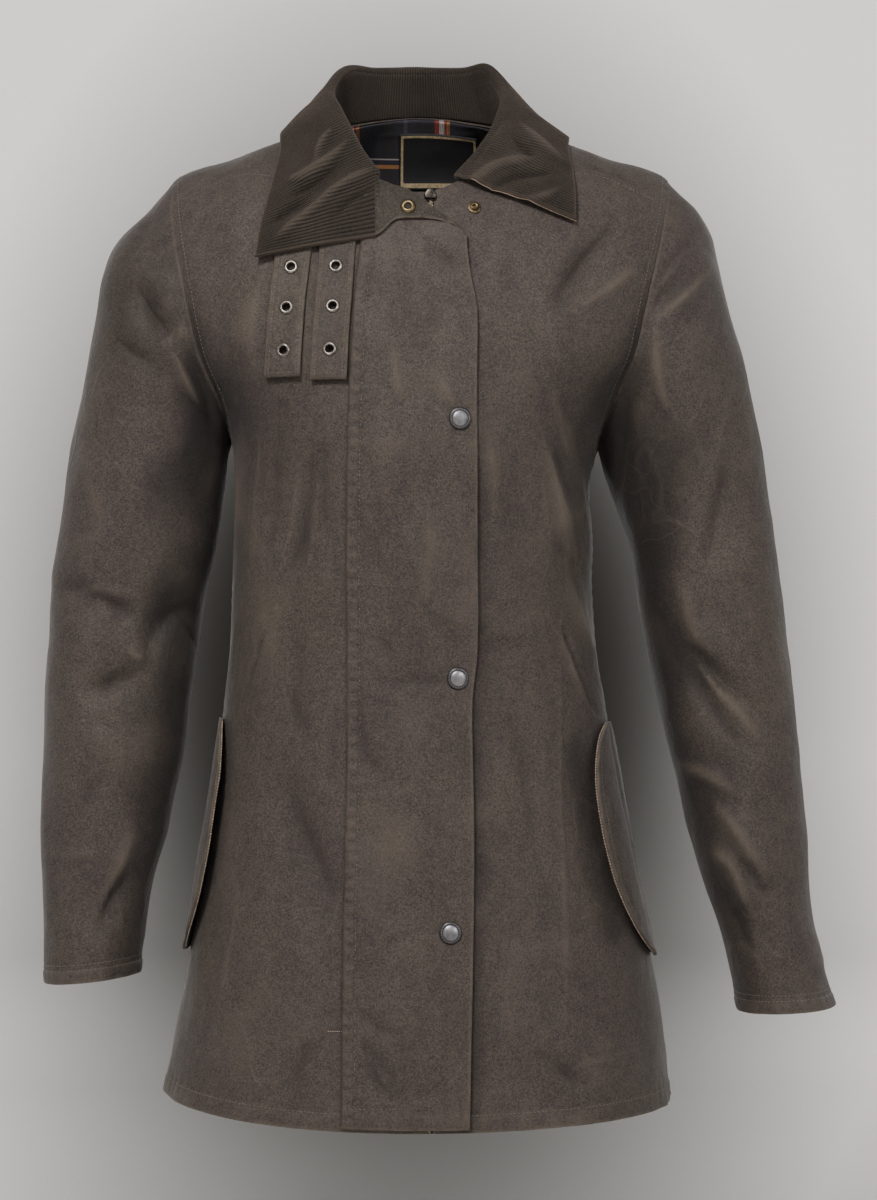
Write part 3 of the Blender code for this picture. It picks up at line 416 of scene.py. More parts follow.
def crumple(points, size_mm, height_mm):
    """Unplanned faint creases: stiff cloth buckles along lines, and these run mostly up and down."""
    flat = points.reshape(-1, 3) / (size_mm * MM) * (1.0, 1.0, 0.6) + (7.3, 2.1, 5.7)
    rise = np.array([0.2 - abs(noise.noise(Vector(place))) for place in flat])
    return rise.reshape(points.shape[:-1]) * height_mm * MM


def front_share(points, y_middle):
    """1 on the front of a piece, fading to 0 at its side, 30 mm behind."""
    return np.clip((y_middle - points[..., 1]) / (30 * MM), 0, 1)


def back_share(points, y_middle):
    return front_share(-points, -y_middle)


deepest = min(crease[1] for crease in SLEEVE_CREASES_FRONT)
print("the deepest sleeve crease sinks", -deepest, "mm")


# %% The body's surface


def bare_body(turn, ring):
    """A point of the body before its folds. turn: 0 front, 90 the wearer's left, 180 back."""
    (z_front, z_right, z_left, z_back, x_right, x_left,
     y_front, y_back, roundness, dip) = np.moveaxis(smooth(RING_VALUES, ring), -1, 0)
    angle = np.radians(turn)
    across, ahead = np.sin(angle), np.cos(angle)
    reach = (np.abs(across)**roundness + np.abs(ahead)**roundness)**(-1 / roundness)
    x = (x_left + x_right) / 2 + (x_left - x_right) / 2 * reach * across
    y = reach * np.abs(ahead) * np.where(ahead > 0, y_front, y_back)
    z_side = (z_left + z_right) / 2 + (z_left - z_right) / 2 * across
    z = z_side + (np.where(ahead > 0, z_front, z_back) - z_side) * np.abs(ahead)**dip
    return np.stack((x, y, z), -1) * MM


def body_relief(place):
    """The fine creases and unevenness of the body, in metres."""
    relief = crease_rise(place, FRONT_CREASES) * front_share(place, 0.0)
    relief += crease_rise(place, BACK_CREASES) * back_share(place, 0.0)
    return relief + ripple(place, 46, 1.1) + crumple(place, 58, 1.9) + ripple(place, 15, 0.3)


def body(turn, ring, lift, fine=True):
    """A point of the body's outer face, moved out by lift millimetres."""
    turn, ring, lift = np.broadcast_arrays(np.asarray(turn, float), np.asarray(ring, float), lift)
    sideways = bare_body(turn + 0.5, ring) - bare_body(turn - 0.5, ring)
    upward = bare_body(turn, ring + 0.02) - bare_body(turn, ring - 0.02)
    outward = unit(np.cross(sideways, upward))
    place = bare_body(turn, ring)
    rise = fold_rise(place, BODY_FOLDS_FRONT) * front_share(place, 0.0)
    rise += fold_rise(place, BODY_FOLDS_BACK) * back_share(place, 0.0)
    if fine:
        rise = rise + body_relief(place)
    return place + outward * (rise + lift * MM)[..., None]


def way_off(turn, ring):
    """The way straight off the body's cloth."""
    return unit(body(turn, ring, 1.0, False) - body(turn, ring, 0.0, False))


def find_on_front(x, z):
    """The turn and ring of the front at a place seen from the front, in millimetres."""
    x, z = np.broadcast_arrays(np.asarray(x, float), np.asarray(z, float))
    fronts = RING_VALUES[:, 0]
    ring = np.interp(z, fronts, np.arange(len(fronts)))
    turn = np.degrees(np.arcsin(np.clip(x / 200, -0.9, 0.9)))
    for _ in range(12):
        here = bare_body(turn, ring) / MM
        by_turn = (bare_body(turn + 0.2, ring) - bare_body(turn - 0.2, ring)) / MM / 0.4
        by_ring = (bare_body(turn, ring + 0.02) - bare_body(turn, ring - 0.02)) / MM / 0.04
        miss_x, miss_z = x - here[..., 0], z - here[..., 2]
        area = by_turn[..., 0] * by_ring[..., 2] - by_turn[..., 2] * by_ring[..., 0]
        area = np.where(np.abs(area) < 1e-3, 1e-3, area)
        turn = turn + np.clip((miss_x * by_ring[..., 2] - miss_z * by_ring[..., 0]) / area, -12, 12)
        ring = ring + np.clip((miss_z * by_turn[..., 0] - miss_x * by_turn[..., 2]) / area, -1, 1)
        ring = np.clip(ring, 0.02, NECK - 0.001)
    return turn, ring


def on_front(x, z, lift, fine=True):
    """A point over the front at (x, z), in millimetres, lift off the cloth."""
    turn, ring = find_on_front(x, z)
    return body(turn, ring, lift, fine)


def front_normal(x, z):
    return way_off(*find_on_front(x, z))


def kept_clear(points, lift):
    """Move points that lie too near the body out along its normal, to lift millimetres at least."""
    turn = np.degrees(np.arctan2(points[..., 0] / 150, -points[..., 1] / 110))
    ring = np.full(turn.shape, NECK - 1.5)
    for _ in range(14):
        here = body(turn, ring, 0.0, False)
        by_turn = (body(turn + 0.5, ring, 0.0, False) - body(turn - 0.5, ring, 0.0, False)) / MM
        by_ring = (body(turn, ring + 0.02, 0.0, False) - body(turn, ring - 0.02, 0.0, False)) / MM / 0.04
        miss = (points - here) / MM
        turn = turn + np.clip((miss * by_turn).sum(-1) / (by_turn**2).sum(-1), -10, 10)
        ring = ring + np.clip((miss * by_ring).sum(-1) / (by_ring**2).sum(-1), -0.5, 0.5)
        ring = np.clip(ring, 0.02, NECK - 0.02)
    here = body(turn, ring, 0.0, False)
    outward = (body(turn, ring, 1.0, False) - here) / MM
    height = ((points - here) * outward).sum(-1) / MM
    short = np.maximum(lift - height, 0)
    return points + outward * (short * MM)[..., None]


def zip_turn(ring, x):
    """The turn at which the front passes x millimetres from the middle plane."""
    values = smooth(RING_VALUES, ring)
    x_right, x_left = values[..., 4], values[..., 5]
    return np.degrees(np.arcsin((x - (x_left + x_right) / 2) / ((x_left - x_right) / 2)))


print("the front's middle at the waist lies", round(-on_front(0.0, -400.0, 0.0)[1] / MM), "mm forward")


# %% [markdown]
# ## Finishes
#
# Waxed cotton looks like neither cloth nor leather. The wax darkens and flattens the weave, and where it
# has been rubbed or bent the dry cotton shows paler. Its colour is therefore a sum of clouds of several
# sizes, and each mesh carries three measures of its own that the finish reads: `edge`, which is 1 along
# hems and seams, `relief`, which is positive on ridges and negative in troughs, and `shade`, which is 1
# where neighbouring cloth keeps the light away.
# The finish paints shade and light into the colour: troughs, and cloth where `shade` is high, are darkened as
# painted shade, and ridges turn paler, as worn dry cotton and as a painted highlight.

# %% Helpers for node trees


def give(tree, node, values):
    """Set a node's inputs. values: input name or number -> a constant, or a socket to link."""
    for key, value in values.items():
        socket = node.inputs[key]
        if isinstance(value, bpy.types.NodeSocket):
            tree.links.new(value, socket)
        else:
            socket.default_value = value


def put(tree, kind, values=None, **settings):
    """Add a node with its settings and the values of its inputs."""
    node = tree.nodes.new(kind)
    for setting, value in settings.items():
        setattr(node, setting, value)
    give(tree, node, values or {})
    return node


def new_finish(name):
    """A finish, its tree, its shader, and the places on the piece that its patterns read."""
    finish = bpy.data.materials.new(name)
    finish.use_nodes = True
    tree = finish.node_tree
    place = put(tree, "ShaderNodeTexCoord").outputs["Object"]
    return finish, tree, tree.nodes["Principled BSDF"], place


def sum_of(tree, operation, first, second=0.0):
    return put(tree, "ShaderNodeMath", {0: first, 1: second}, operation=operation).outputs[0]


def times(tree, first, second):
    return sum_of(tree, "MULTIPLY", first, second)


def spread(tree, value, low, high, to_low=0.0, to_high=1.0):
    """Stretch a value from one range to another, held at its ends."""
    values = {"Value": value, "From Min": low, "From Max": high, "To Min": to_low, "To Max": to_high}
    return put(tree, "ShaderNodeMapRange", values).outputs[0]


def blend(tree, share, first, second, kind="MIX"):
    node = put(tree, "ShaderNodeMix", {"Factor": share}, data_type="RGBA", blend_type=kind)
    for key, value in (("A", first), ("B", second)):
        socket = [s for s in node.inputs if s.name == key and s.type == "RGBA"][0]
        if isinstance(value, bpy.types.NodeSocket):
            tree.links.new(value, socket)
        else:
            socket.default_value = (*value, 1)
    return [s for s in node.outputs if s.type == "RGBA"][0]


def clouds(tree, place, scale, detail, rough=0.55, stretch=None):
    if stretch is not None:
        place = put(tree, "ShaderNodeMapping", {"Vector": place, "Scale": stretch}).outputs[0]
    values = {"Vector": place, "Scale": scale, "Detail": detail, "Roughness": rough}
    return put(tree, "ShaderNodeTexNoise", values).outputs["Fac"]


def measure(tree, name):
    return put(tree, "ShaderNodeAttribute", attribute_name=name).outputs["Fac"]


def shades_of(colour, share):
    return [part * share for part in colour]


def bumps(tree, height, strength, distance):
    values = {"Height": height, "Strength": strength, "Distance": distance}
    return put(tree, "ShaderNodeBump", values).outputs[0]


print("helpers for finishes are ready")


# %% Waxed cotton


def warped(tree, place, scale, reach):
    """Places pushed about by soft clouds, so that cells don't look like cells."""
    push = put(tree, "ShaderNodeTexNoise", {"Vector": place, "Scale": scale}).outputs["Color"]
    pushed = put(tree, "ShaderNodeVectorMath", {0: push, 1: (reach, reach, reach), 2: place},
                 operation="MULTIPLY_ADD")
    return pushed.outputs[0]


def waxed_cotton(name, dry, waxed, olive, roughness):
    """dry shows on edges and ridges, on ridges also as a painted highlight; waxed is the ground and, darker,
    the painted shade; olive tints the clouds.
    """
    finish, tree, shader, place = new_finish(name)
    large = spread(tree, clouds(tree, place, 8.0, 4.0, 0.6), 0.36, 0.64)
    streaks = spread(tree, clouds(tree, place, 30.0, 5.0, 0.65, (1.0, 1.0, 0.4)), 0.35, 0.67)
    small = spread(tree, clouds(tree, place, 120.0, 3.0, 0.6), 0.32, 0.7)
    fleck = spread(tree, clouds(tree, place, 880.0, 3.0, 0.8), 0.36, 0.64)
    warp = clouds(tree, place, 950.0, 2.0, 0.6, (1.0, 1.0, 0.5))
    weft = clouds(tree, place, 950.0, 2.0, 0.6, (0.5, 0.5, 1.0))
    threads = sum_of(tree, "ADD", warp, weft)
    colour = blend(tree, times(tree, large, 0.65), waxed, olive)
    colour = blend(tree, times(tree, streaks, 0.45), colour, shades_of(waxed, 0.62))
    colour = blend(tree, times(tree, small, 0.2), colour, dry)
    weave = spread(tree, threads, 0.78, 1.22, 0.22, 0.62)
    grain = times(tree, sum_of(tree, "ADD", weave, times(tree, fleck, 0.42)), 1.56)
    grey = put(tree, "ShaderNodeCombineColor", {0: grain, 1: grain, 2: grain}).outputs[0]
    colour = blend(tree, 1.0, colour, grey, "MULTIPLY")
    high = spread(tree, measure(tree, "relief"), 0.3, 2.6, 0.0, 0.62)
    low = spread(tree, measure(tree, "relief"), -0.5, -3.4, 0.0, 0.52)
    worn = spread(tree, small, 0.0, 1.0, 0.35, 0.9)
    rubbed = times(tree, spread(tree, measure(tree, "edge"), 0.15, 1.0), worn)
    # Painted shade: the troughs of creases and seams are darkened, and so is cloth where the shade measure is
    # high.
    colour = blend(tree, low, colour, shades_of(waxed, 0.42))
    colour = blend(tree, times(tree, measure(tree, "shade"), 0.8), colour, shades_of(waxed, 0.15))
    # Ridges and rubbed edges turn to dry cotton: wear, and on the ridges also a painted highlight.
    colour = blend(tree, sum_of(tree, "MAXIMUM", high, rubbed), colour, dry)
    cracks = put(tree, "ShaderNodeTexVoronoi", {"Vector": warped(tree, place, 20.0, 0.06), "Scale": 22.0},
                 feature="DISTANCE_TO_EDGE").outputs["Distance"]
    cracked = spread(tree, cracks, 0.0, 0.03, 1.0, 0.0)
    some = spread(tree, clouds(tree, place, 11.0, 2.0), 0.48, 0.62, 0.0, 0.12)
    colour = blend(tree, times(tree, cracked, some), colour, dry)
    wandering = clouds(tree, warped(tree, place, 9.0, 0.05), 15.0, 2.0, 0.5, (1.0, 1.0, 0.6))
    from_line = sum_of(tree, "ABSOLUTE", sum_of(tree, "SUBTRACT", wandering, 0.5))
    here_and_there = spread(tree, clouds(tree, place, 13.0, 2.0), 0.47, 0.6)
    sharp = times(tree, spread(tree, from_line, 0.0, 0.028, 1.0, 0.0), here_and_there)
    colour = blend(tree, times(tree, sharp, 0.11), colour, dry)
    height = sum_of(tree, "ADD", times(tree, threads, 0.4), times(tree, small, 0.6))
    height = sum_of(tree, "ADD", height, times(tree, cracked, 0.3))
    height = sum_of(tree, "ADD", height, times(tree, sharp, 1.2))
    give(tree, shader, {
        "Base Color": colour, "Roughness": sum_of(tree, "ADD", times(tree, streaks, 0.14), roughness),
        "Specular IOR Level": 0.2, "Sheen Weight": 0.05, "Sheen Roughness": 0.6,
        "Normal": bumps(tree, height, 0.4, 0.001)})
    return finish


WAX = waxed_cotton("wax_cotton", (0.132, 0.106, 0.082), (0.063, 0.049, 0.0455), (0.072, 0.058, 0.044), 0.56)
FACING = waxed_cotton("facing_cotton", (0.11, 0.092, 0.07), (0.040, 0.032, 0.026), (0.048, 0.039, 0.029), 0.6)
print("waxed cotton:", WAX.name, FACING.name)

# %% [markdown]
# Corduroy is a pile cloth: its ribs stand up and catch the light on their crowns, while the ground
# between them stays dark. The ribs are real geometry, and the finish is soft, deep brown and a little
# brighter at a grazing angle, which is what sheen does. It also paints light and shade: the grooves
# between the ribs and the troughs of the folds are darkened as painted shade, and the folds' crests
# turn paler, as rubbed pile and a painted highlight.

# %% Corduroy, lining and label


def corduroy_pile():
    finish, tree, shader, place = new_finish("corduroy")
    patches = spread(tree, clouds(tree, place, 26.0, 4.0), 0.35, 0.68)
    tufts = spread(tree, clouds(tree, place, 900.0, 2.0, 0.7), 0.3, 0.7)
    colour = blend(tree, patches, (0.026, 0.0215, 0.018), (0.055, 0.0445, 0.037))
    # Painted shade: the grooves between the ribs are darkened nearly to black.
    painted_groove_shade = spread(tree, measure(tree, "rib"), 0.3, 1.0, 0.98, 0.0)
    colour = blend(tree, painted_groove_shade, colour, (0.003, 0.0022, 0.0018))
    # Painted shade darkens the troughs of the folds, and their crests turn paler, as rubbed pile and a
    # painted highlight.
    low = spread(tree, measure(tree, "relief"), -0.1, -2.0, 0.0, 0.75)
    colour = blend(tree, low, colour, (0.008, 0.006, 0.005))
    high = spread(tree, measure(tree, "relief"), 1.2, 3.6, 0.0, 0.32)
    colour = blend(tree, high, colour, (0.15, 0.125, 0.10))
    colour = blend(tree, times(tree, tufts, 0.3), colour, (0.095, 0.075, 0.060))
    colour = blend(tree, times(tree, measure(tree, "edge"), 0.35), colour, (0.12, 0.09, 0.07))
    give(tree, shader, {
        "Base Color": colour, "Roughness": 0.92, "Specular IOR Level": 0.2, "Sheen Weight": 0.28,
        "Sheen Roughness": 0.45, "Sheen Tint": (0.75, 0.6, 0.5, 1),
        "Normal": bumps(tree, tufts, 0.4, 0.0006)})
    return finish


def stripes(tree, place, period_mm, offset_mm, bands):
    """Woven stripes across one direction. bands: a start, as a share of the period, and a colour."""
    turns = sum_of(tree, "MULTIPLY_ADD", place, 1 / (period_mm * MM))
    turns.node.inputs[2].default_value = offset_mm / period_mm
    ramp = put(tree, "ShaderNodeValToRGB", {"Fac": sum_of(tree, "FRACT", turns)})
    ramp.color_ramp.interpolation = "CONSTANT"
    points = ramp.color_ramp.elements
    for number, (start, colour) in enumerate(bands):
        point = points[number] if number < 2 else points.new(start)
        point.position = start
        point.color = (*colour, 1)
    return ramp.outputs["Color"]


NAVY = (0.020, 0.018, 0.034)
BLACK = (0.013, 0.010, 0.013)
RED = (0.40, 0.04, 0.03)
ORANGE = (0.62, 0.26, 0.07)
CREAM = (0.70, 0.64, 0.60)
GREY_PURPLE = (0.10, 0.075, 0.10)
WARP_BANDS = ((0.0, NAVY), (0.20, BLACK), (0.36, NAVY), (0.455, GREY_PURPLE), (0.495, NAVY), (0.60, BLACK),
              (0.80, RED), (0.85, CREAM), (0.905, RED), (0.93, ORANGE), (0.965, NAVY))
WEFT_BANDS = ((0.0, BLACK), (0.22, NAVY), (0.40, GREY_PURPLE), (0.43, BLACK), (0.70, ORANGE), (0.745, NAVY),
              (0.80, CREAM), (0.815, BLACK))


def check_lining():
    finish, tree, shader, place = new_finish("tartan_lining")
    parts = put(tree, "ShaderNodeSeparateXYZ", {0: place})
    warp = stripes(tree, parts.outputs["X"], 74.0, 46.0, WARP_BANDS)
    weft = stripes(tree, parts.outputs["Z"], 68.0, 6.0, WEFT_BANDS)
    twill = put(tree, "ShaderNodeTexWave", {"Vector": place, "Scale": 420.0, "Distortion": 0.6,
                                            "Detail": 1.0}, bands_direction="DIAGONAL").outputs["Fac"]
    colour = blend(tree, spread(tree, twill, 0.3, 0.7, 0.38, 0.62), warp, weft)
    fluff = clouds(tree, place, 700.0, 2.0, 0.7)
    colour = blend(tree, spread(tree, fluff, 0.4, 0.8, 0.0, 0.25), colour, (0.07, 0.055, 0.055))
    give(tree, shader, {"Base Color": colour, "Roughness": 0.9, "Sheen Weight": 0.15,
                        "Normal": bumps(tree, fluff, 0.4, 0.0006)})
    return finish


def woven_label():
    finish, tree, shader, place = new_finish("label_satin")
    rows = put(tree, "ShaderNodeTexWave", {"Vector": place, "Scale": 620.0, "Distortion": 0.4},
               bands_direction="Z").outputs["Fac"]
    worn = clouds(tree, place, 500.0, 2.0, 0.6)
    gold = blend(tree, spread(tree, worn, 0.35, 0.7), (0.50, 0.39, 0.23), (0.28, 0.21, 0.11))
    black = blend(tree, times(tree, rows, 0.5), (0.009, 0.008, 0.009), (0.02, 0.017, 0.018))
    from_edge = measure(tree, "from_edge")
    border = times(tree, spread(tree, from_edge, 1.2, 1.4), spread(tree, from_edge, 3.4, 3.2))
    give(tree, shader, {"Base Color": blend(tree, border, black, gold), "Roughness": 0.55,
                        "Normal": bumps(tree, rows, 0.3, 0.0004)})
    return finish


PILE = corduroy_pile()
CHECK = check_lining()
LABEL = woven_label()
print("linings:", CHECK.name, LABEL.name)

# %% Metal and thread


def plated_metal(name, bright, dull, roughness, scale=300.0):
    """Old plating: clouds of tarnish over a bright ground, and fine scratches."""
    finish, tree, shader, place = new_finish(name)
    tarnish = spread(tree, clouds(tree, place, scale, 4.0, 0.65), 0.4, 0.68)
    scratch = clouds(tree, place, 2400.0, 2.0, 0.5, (1.0, 1.0, 0.12))
    plating = blend(tree, tarnish, bright, dull)
    # The shade measure darkens the plating: painted shade in the socket's hole and under the stud's head, a
    # dark band on the snap caps' rims, and the whole zip slider.
    give(tree, shader, {
        "Base Color": blend(tree, measure(tree, "shade"), plating, shades_of(dull, 0.3)),
        "Roughness": sum_of(tree, "ADD", times(tree, tarnish, 0.22), roughness),
        "Metallic": 1.0, "Normal": bumps(tree, scratch, 0.12, 0.0002)})
    return finish


def sewing_thread(name, colour, dark):
    finish, tree, shader, place = new_finish(name)
    twist = clouds(tree, place, 1500.0, 2.0, 0.6)
    give(tree, shader, {
        "Base Color": blend(tree, spread(tree, twist, 0.35, 0.7), colour, dark), "Roughness": 0.7,
        "Sheen Weight": 0.2, "Normal": bumps(tree, twist, 0.4, 0.0002)})
    return finish


GUNMETAL = plated_metal("gunmetal", (0.34, 0.325, 0.335), (0.17, 0.16, 0.165), 0.3, 120.0)
BRASS = plated_metal("aged_brass", (0.22, 0.165, 0.09), (0.07, 0.05, 0.03), 0.3)
NICKEL = plated_metal("nickel", (0.31, 0.28, 0.245), (0.11, 0.096, 0.08), 0.27)
ZIP_METAL = plated_metal("zip_teeth", (0.30, 0.25, 0.17), (0.10, 0.08, 0.05), 0.34)
THREAD = sewing_thread("thread", (0.17, 0.14, 0.11), (0.08, 0.065, 0.052))
PALE_THREAD = sewing_thread("pale_thread", (0.50, 0.42, 0.33), (0.24, 0.12, 0.07))
print("metals and thread are ready")

# %% [markdown]
# ## From a grid of points to a sewn shell
#
# Each cut piece is a grid of points on the form. Its wall is a second grid behind the first, joined round
# the rim, and the rim is rounded with a small bevel so that hems don't look like cut card. Everything
# that a finish needs to know travels with the mesh as an attribute.

# %% Helpers for shells and for joined pieces


def grid_faces(rows, columns, wrap):
    faces = []
    for row in range(rows - 1):
        for column in range(columns if wrap else columns - 1):
            after = (column + 1) % columns
            faces.append((row * columns + column, row * columns + after,
                          (row + 1) * columns + after, (row + 1) * columns + column))
    return faces


def grid_normals(grid, wrap=False):
    across = np.roll(grid, -1, 1) - np.roll(grid, 1, 1) if wrap else np.gradient(grid, axis=1)
    return unit(np.cross(across, np.gradient(grid, axis=0)))


def run_along(points, axis):
    """How far each point of a grid lies from the first one along an axis."""
    steps = np.linalg.norm(np.diff(points, axis=axis), axis=-1)
    return np.concatenate((np.zeros_like(steps.take([0], axis)), steps.cumsum(axis)), axis)


def add_piece(name, data):
    piece = bpy.data.objects.new(name, data)
    bpy.context.scene.collection.objects.link(piece)
    return piece


def add_mesh(name, points, faces, finishes, inside=slice(0, 0)):
    """A mesh object with its faces pointing out. The faces inside a wall take the second finish."""
    mesh = bpy.data.meshes.new(name)
    mesh.from_pydata(np.asarray(points, float).tolist(), [], faces)
    for finish in finishes:
        mesh.materials.append(finish)
    marks = np.zeros(len(faces), np.int32)
    marks[inside] = len(finishes) - 1
    mesh.polygons.foreach_set("material_index", marks)
    shaped = bmesh.new()
    shaped.from_mesh(mesh)
    bmesh.ops.recalc_face_normals(shaped, faces=shaped.faces)
    shaped.to_mesh(mesh)
    shaped.free()
    mesh.shade_smooth()
    return add_piece(name, mesh)


def closed_wall(name, outer, inner, faces, finishes):
    """Two matching skins of faces, joined all round their open edges."""
    count = len(outer)
    edges = {(a, b) for face in faces for a, b in zip(face, face[1:] + face[:1])}
    border = sorted((a, b) for a, b in edges if (b, a) not in edges)
    back = [tuple(point + count for point in reversed(face)) for face in faces]
    sides = [(b, a, a + count, b + count) for a, b in border]
    return add_mesh(name, np.concatenate((outer, inner)), faces + back + sides, finishes,
                    slice(len(faces), 2 * len(faces)))


def guide(name, points, ups, chain=()):
    """Points that know which way is up off the cloth, joined by edges where they form a line."""
    mesh = bpy.data.meshes.new(name)
    mesh.from_pydata(np.asarray(points, float).tolist(), list(chain), [])
    attribute = mesh.attributes.new("up", "FLOAT_VECTOR", "POINT")
    attribute.data.foreach_set("vector", np.asarray(ups, np.float32).ravel())
    return add_piece(name, mesh)


def mark(piece, name, values):
    attribute = piece.data.attributes.new(name, "FLOAT", "POINT")
    attribute.data.foreach_set("value", np.asarray(values, np.float32).ravel())


def applied(piece):
    """Make what the modifiers show the piece's own mesh."""
    bpy.context.view_layer.update()
    depsgraph = bpy.context.evaluated_depsgraph_get()
    shown = bpy.data.meshes.new_from_object(piece.evaluated_get(depsgraph), depsgraph=depsgraph)
    piece.modifiers.clear()
    old = piece.data
    piece.data = shown
    shown.name = piece.name
    bpy.data.meshes.remove(old)
    return piece


def count_triangles(piece):
    return sum(len(face.vertices) - 2 for face in piece.data.polygons)


def shell(name, outer, inner, finishes, wrap=False, edge=0.0, relief=0.0, shade=0.0, rim=0.7):
    """A closed wall between two matching grids, with its measures and a rounded rim."""
    rows, columns = outer.shape[:2]
    faces = grid_faces(rows, columns, wrap)
    piece = closed_wall(name, outer.reshape(-1, 3), inner.reshape(-1, 3), faces, finishes)
    for measured, values, share_inside in (("edge", edge, 1), ("relief", relief, 0), ("shade", shade, 0)):
        values = np.broadcast_to(values, (rows, columns)).ravel()
        mark(piece, measured, np.concatenate((values, values * share_inside)))
    if rim:
        rounding = piece.modifiers.new("rounding", "BEVEL")
        rounding.width = rim * MM
        rounding.segments = 2
        rounding.limit_method = "ANGLE"
        rounding.angle_limit = math.radians(62)
        rounding.use_clamp_overlap = True
        applied(piece)
    return piece


def sew_in(piece, nodes):
    """Give a piece its body and hide the solids that it stands for."""
    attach(piece, "root")
    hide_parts(*nodes)
    return piece


def closer_at_ends(count, length_mm):
    """Shares from 0 to 1 with extra points near both ends, where seams need them."""
    ends = np.array((0.0, 0.8, 1.7, 2.8, 4.2, 6.0)) / length_mm
    middle = np.linspace(ends[-1], 1 - ends[-1], count)[1:-1]
    return np.concatenate((ends, middle, 1 - ends[::-1]))


print("helpers for walls are ready")


# %% [markdown]
# ## Stitches
#
# A row of stitches follows a seam, and there are thousands of them, so one stitch is made once and placed
# along a line by Geometry Nodes. The line is a chain of edges that knows which way is up off the cloth.
# Each stitch is a low ellipsoid laid along the line, a little sunk in.

# %% The stitch tree


def new_tree(name, inputs):
    tree = bpy.data.node_groups.new(name, "GeometryNodeTree")
    tree.interface.new_socket("Geometry", in_out="INPUT", socket_type="NodeSocketGeometry")
    for label, kind, value in inputs:
        socket = tree.interface.new_socket(label, in_out="INPUT", socket_type="NodeSocket" + kind)
        if value is not None:
            socket.default_value = value
    tree.interface.new_socket("Geometry", in_out="OUTPUT", socket_type="NodeSocketGeometry")
    return tree, tree.nodes.new("NodeGroupInput"), tree.nodes.new("NodeGroupOutput")


def carried(tree, name, kind="FLOAT"):
    """A value that the mesh carries under a name."""
    return put(tree, "GeometryNodeInputNamedAttribute", {"Name": name}, data_type=kind).outputs[0]


def even_line(tree, given):
    """The guide as a line with points one pitch apart."""
    line = put(tree, "GeometryNodeMeshToCurve", {"Mesh": given.outputs["Geometry"]})
    return put(tree, "GeometryNodeResampleCurve", {
        "Curve": line.outputs[0], "Length": given.outputs["Pitch"]}, mode="LENGTH").outputs[0]


def hand_over(tree, geometry, material, result):
    """Make the copies real, give them their finish and end the tree."""
    real = put(tree, "GeometryNodeRealizeInstances", {"Geometry": geometry})
    dressed = put(tree, "GeometryNodeSetMaterial", {"Geometry": real.outputs[0], "Material": material})
    tree.links.new(dressed.outputs[0], result.inputs["Geometry"])
    return tree


def laid_on(tree, along, up):
    """A rotation with X along the line and Z off the cloth."""
    first = put(tree, "FunctionNodeAlignRotationToVector", {"Vector": along}, axis="X")
    second = put(tree, "FunctionNodeAlignRotationToVector", {"Rotation": first.outputs[0], "Vector": up},
                 axis="Z", pivot_axis="X")
    return second.outputs[0]


STITCH_PITCH, STITCH_LENGTH, STITCH_WIDTH, STITCH_SEED = 3.2, 2.5, 0.62, 3


def stitch_tree():
    tree, given, result = new_tree("stitch_row", (
        ("Pitch", "Float", STITCH_PITCH * MM), ("Length", "Float", STITCH_LENGTH * MM),
        ("Width", "Float", STITCH_WIDTH * MM), ("Seed", "Int", STITCH_SEED), ("Thread", "Material", None)))
    even = even_line(tree, given)
    up = carried(tree, "up", "FLOAT_VECTOR")
    along = put(tree, "GeometryNodeInputTangent")
    size = put(tree, "ShaderNodeCombineXYZ", {
        0: given.outputs["Length"], 1: given.outputs["Width"], 2: given.outputs["Width"]})
    ball = put(tree, "GeometryNodeMeshIcoSphere", {"Radius": 0.5, "Subdivisions": 1})
    stitch = put(tree, "GeometryNodeTransform", {"Geometry": ball.outputs["Mesh"], "Scale": size.outputs[0]})
    uneven = put(tree, "FunctionNodeRandomValue", {
        "Seed": given.outputs["Seed"], 2: 0.86, 3: 1.1}, data_type="FLOAT")
    placed = put(tree, "GeometryNodeInstanceOnPoints", {
        "Points": even, "Instance": stitch.outputs[0],
        "Rotation": laid_on(tree, along.outputs[0], up), "Scale": uneven.outputs[1]})
    return hand_over(tree, placed.outputs[0], given.outputs["Thread"], result)


STITCH_ROW = stitch_tree()
print("stitch tree:", len(STITCH_ROW.nodes), "nodes")


def run_tree(piece, tree, values, finish):
    """Run a tree on a piece with its named inputs set, and keep the result as a plain mesh."""
    pattern = piece.modifiers.new(tree.name, "NODES")
    pattern.node_group = tree
    for item in tree.interface.items_tree:
        if item.item_type == "SOCKET" and item.in_out == "INPUT" and item.name in values:
            pattern[item.identifier] = values[item.name]
    applied(piece)
    if not piece.data.materials:
        piece.data.materials.append(finish)
    piece.data.shade_smooth()
    return piece


def sew(name, lines, thread=THREAD, pitch=STITCH_PITCH, length=STITCH_LENGTH, width=STITCH_WIDTH):
    """lines: pairs of matching arrays, the points of a seam and the ways off the cloth."""
    points = np.concatenate([line for line, _ in lines])
    ups = np.concatenate([up for _, up in lines])
    chain, start = [], 0
    for line, _ in lines:
        chain += [(start + i, start + i + 1) for i in range(len(line) - 1)]
        start += len(line)
    values = {"Pitch": pitch * MM, "Length": length * MM, "Width": width * MM, "Seed": STITCH_SEED,
              "Thread": thread}
    piece = run_tree(guide(name, points, ups, chain), STITCH_ROW, values, thread)
    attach(piece, "root")
    print(name, count_triangles(piece), "triangles")
    return piece


def body_line(turn, ring, lift=0.15):
    """A line for stitches on the body, with the ways off it."""
    return body(turn, ring, lift), way_off(turn, ring)


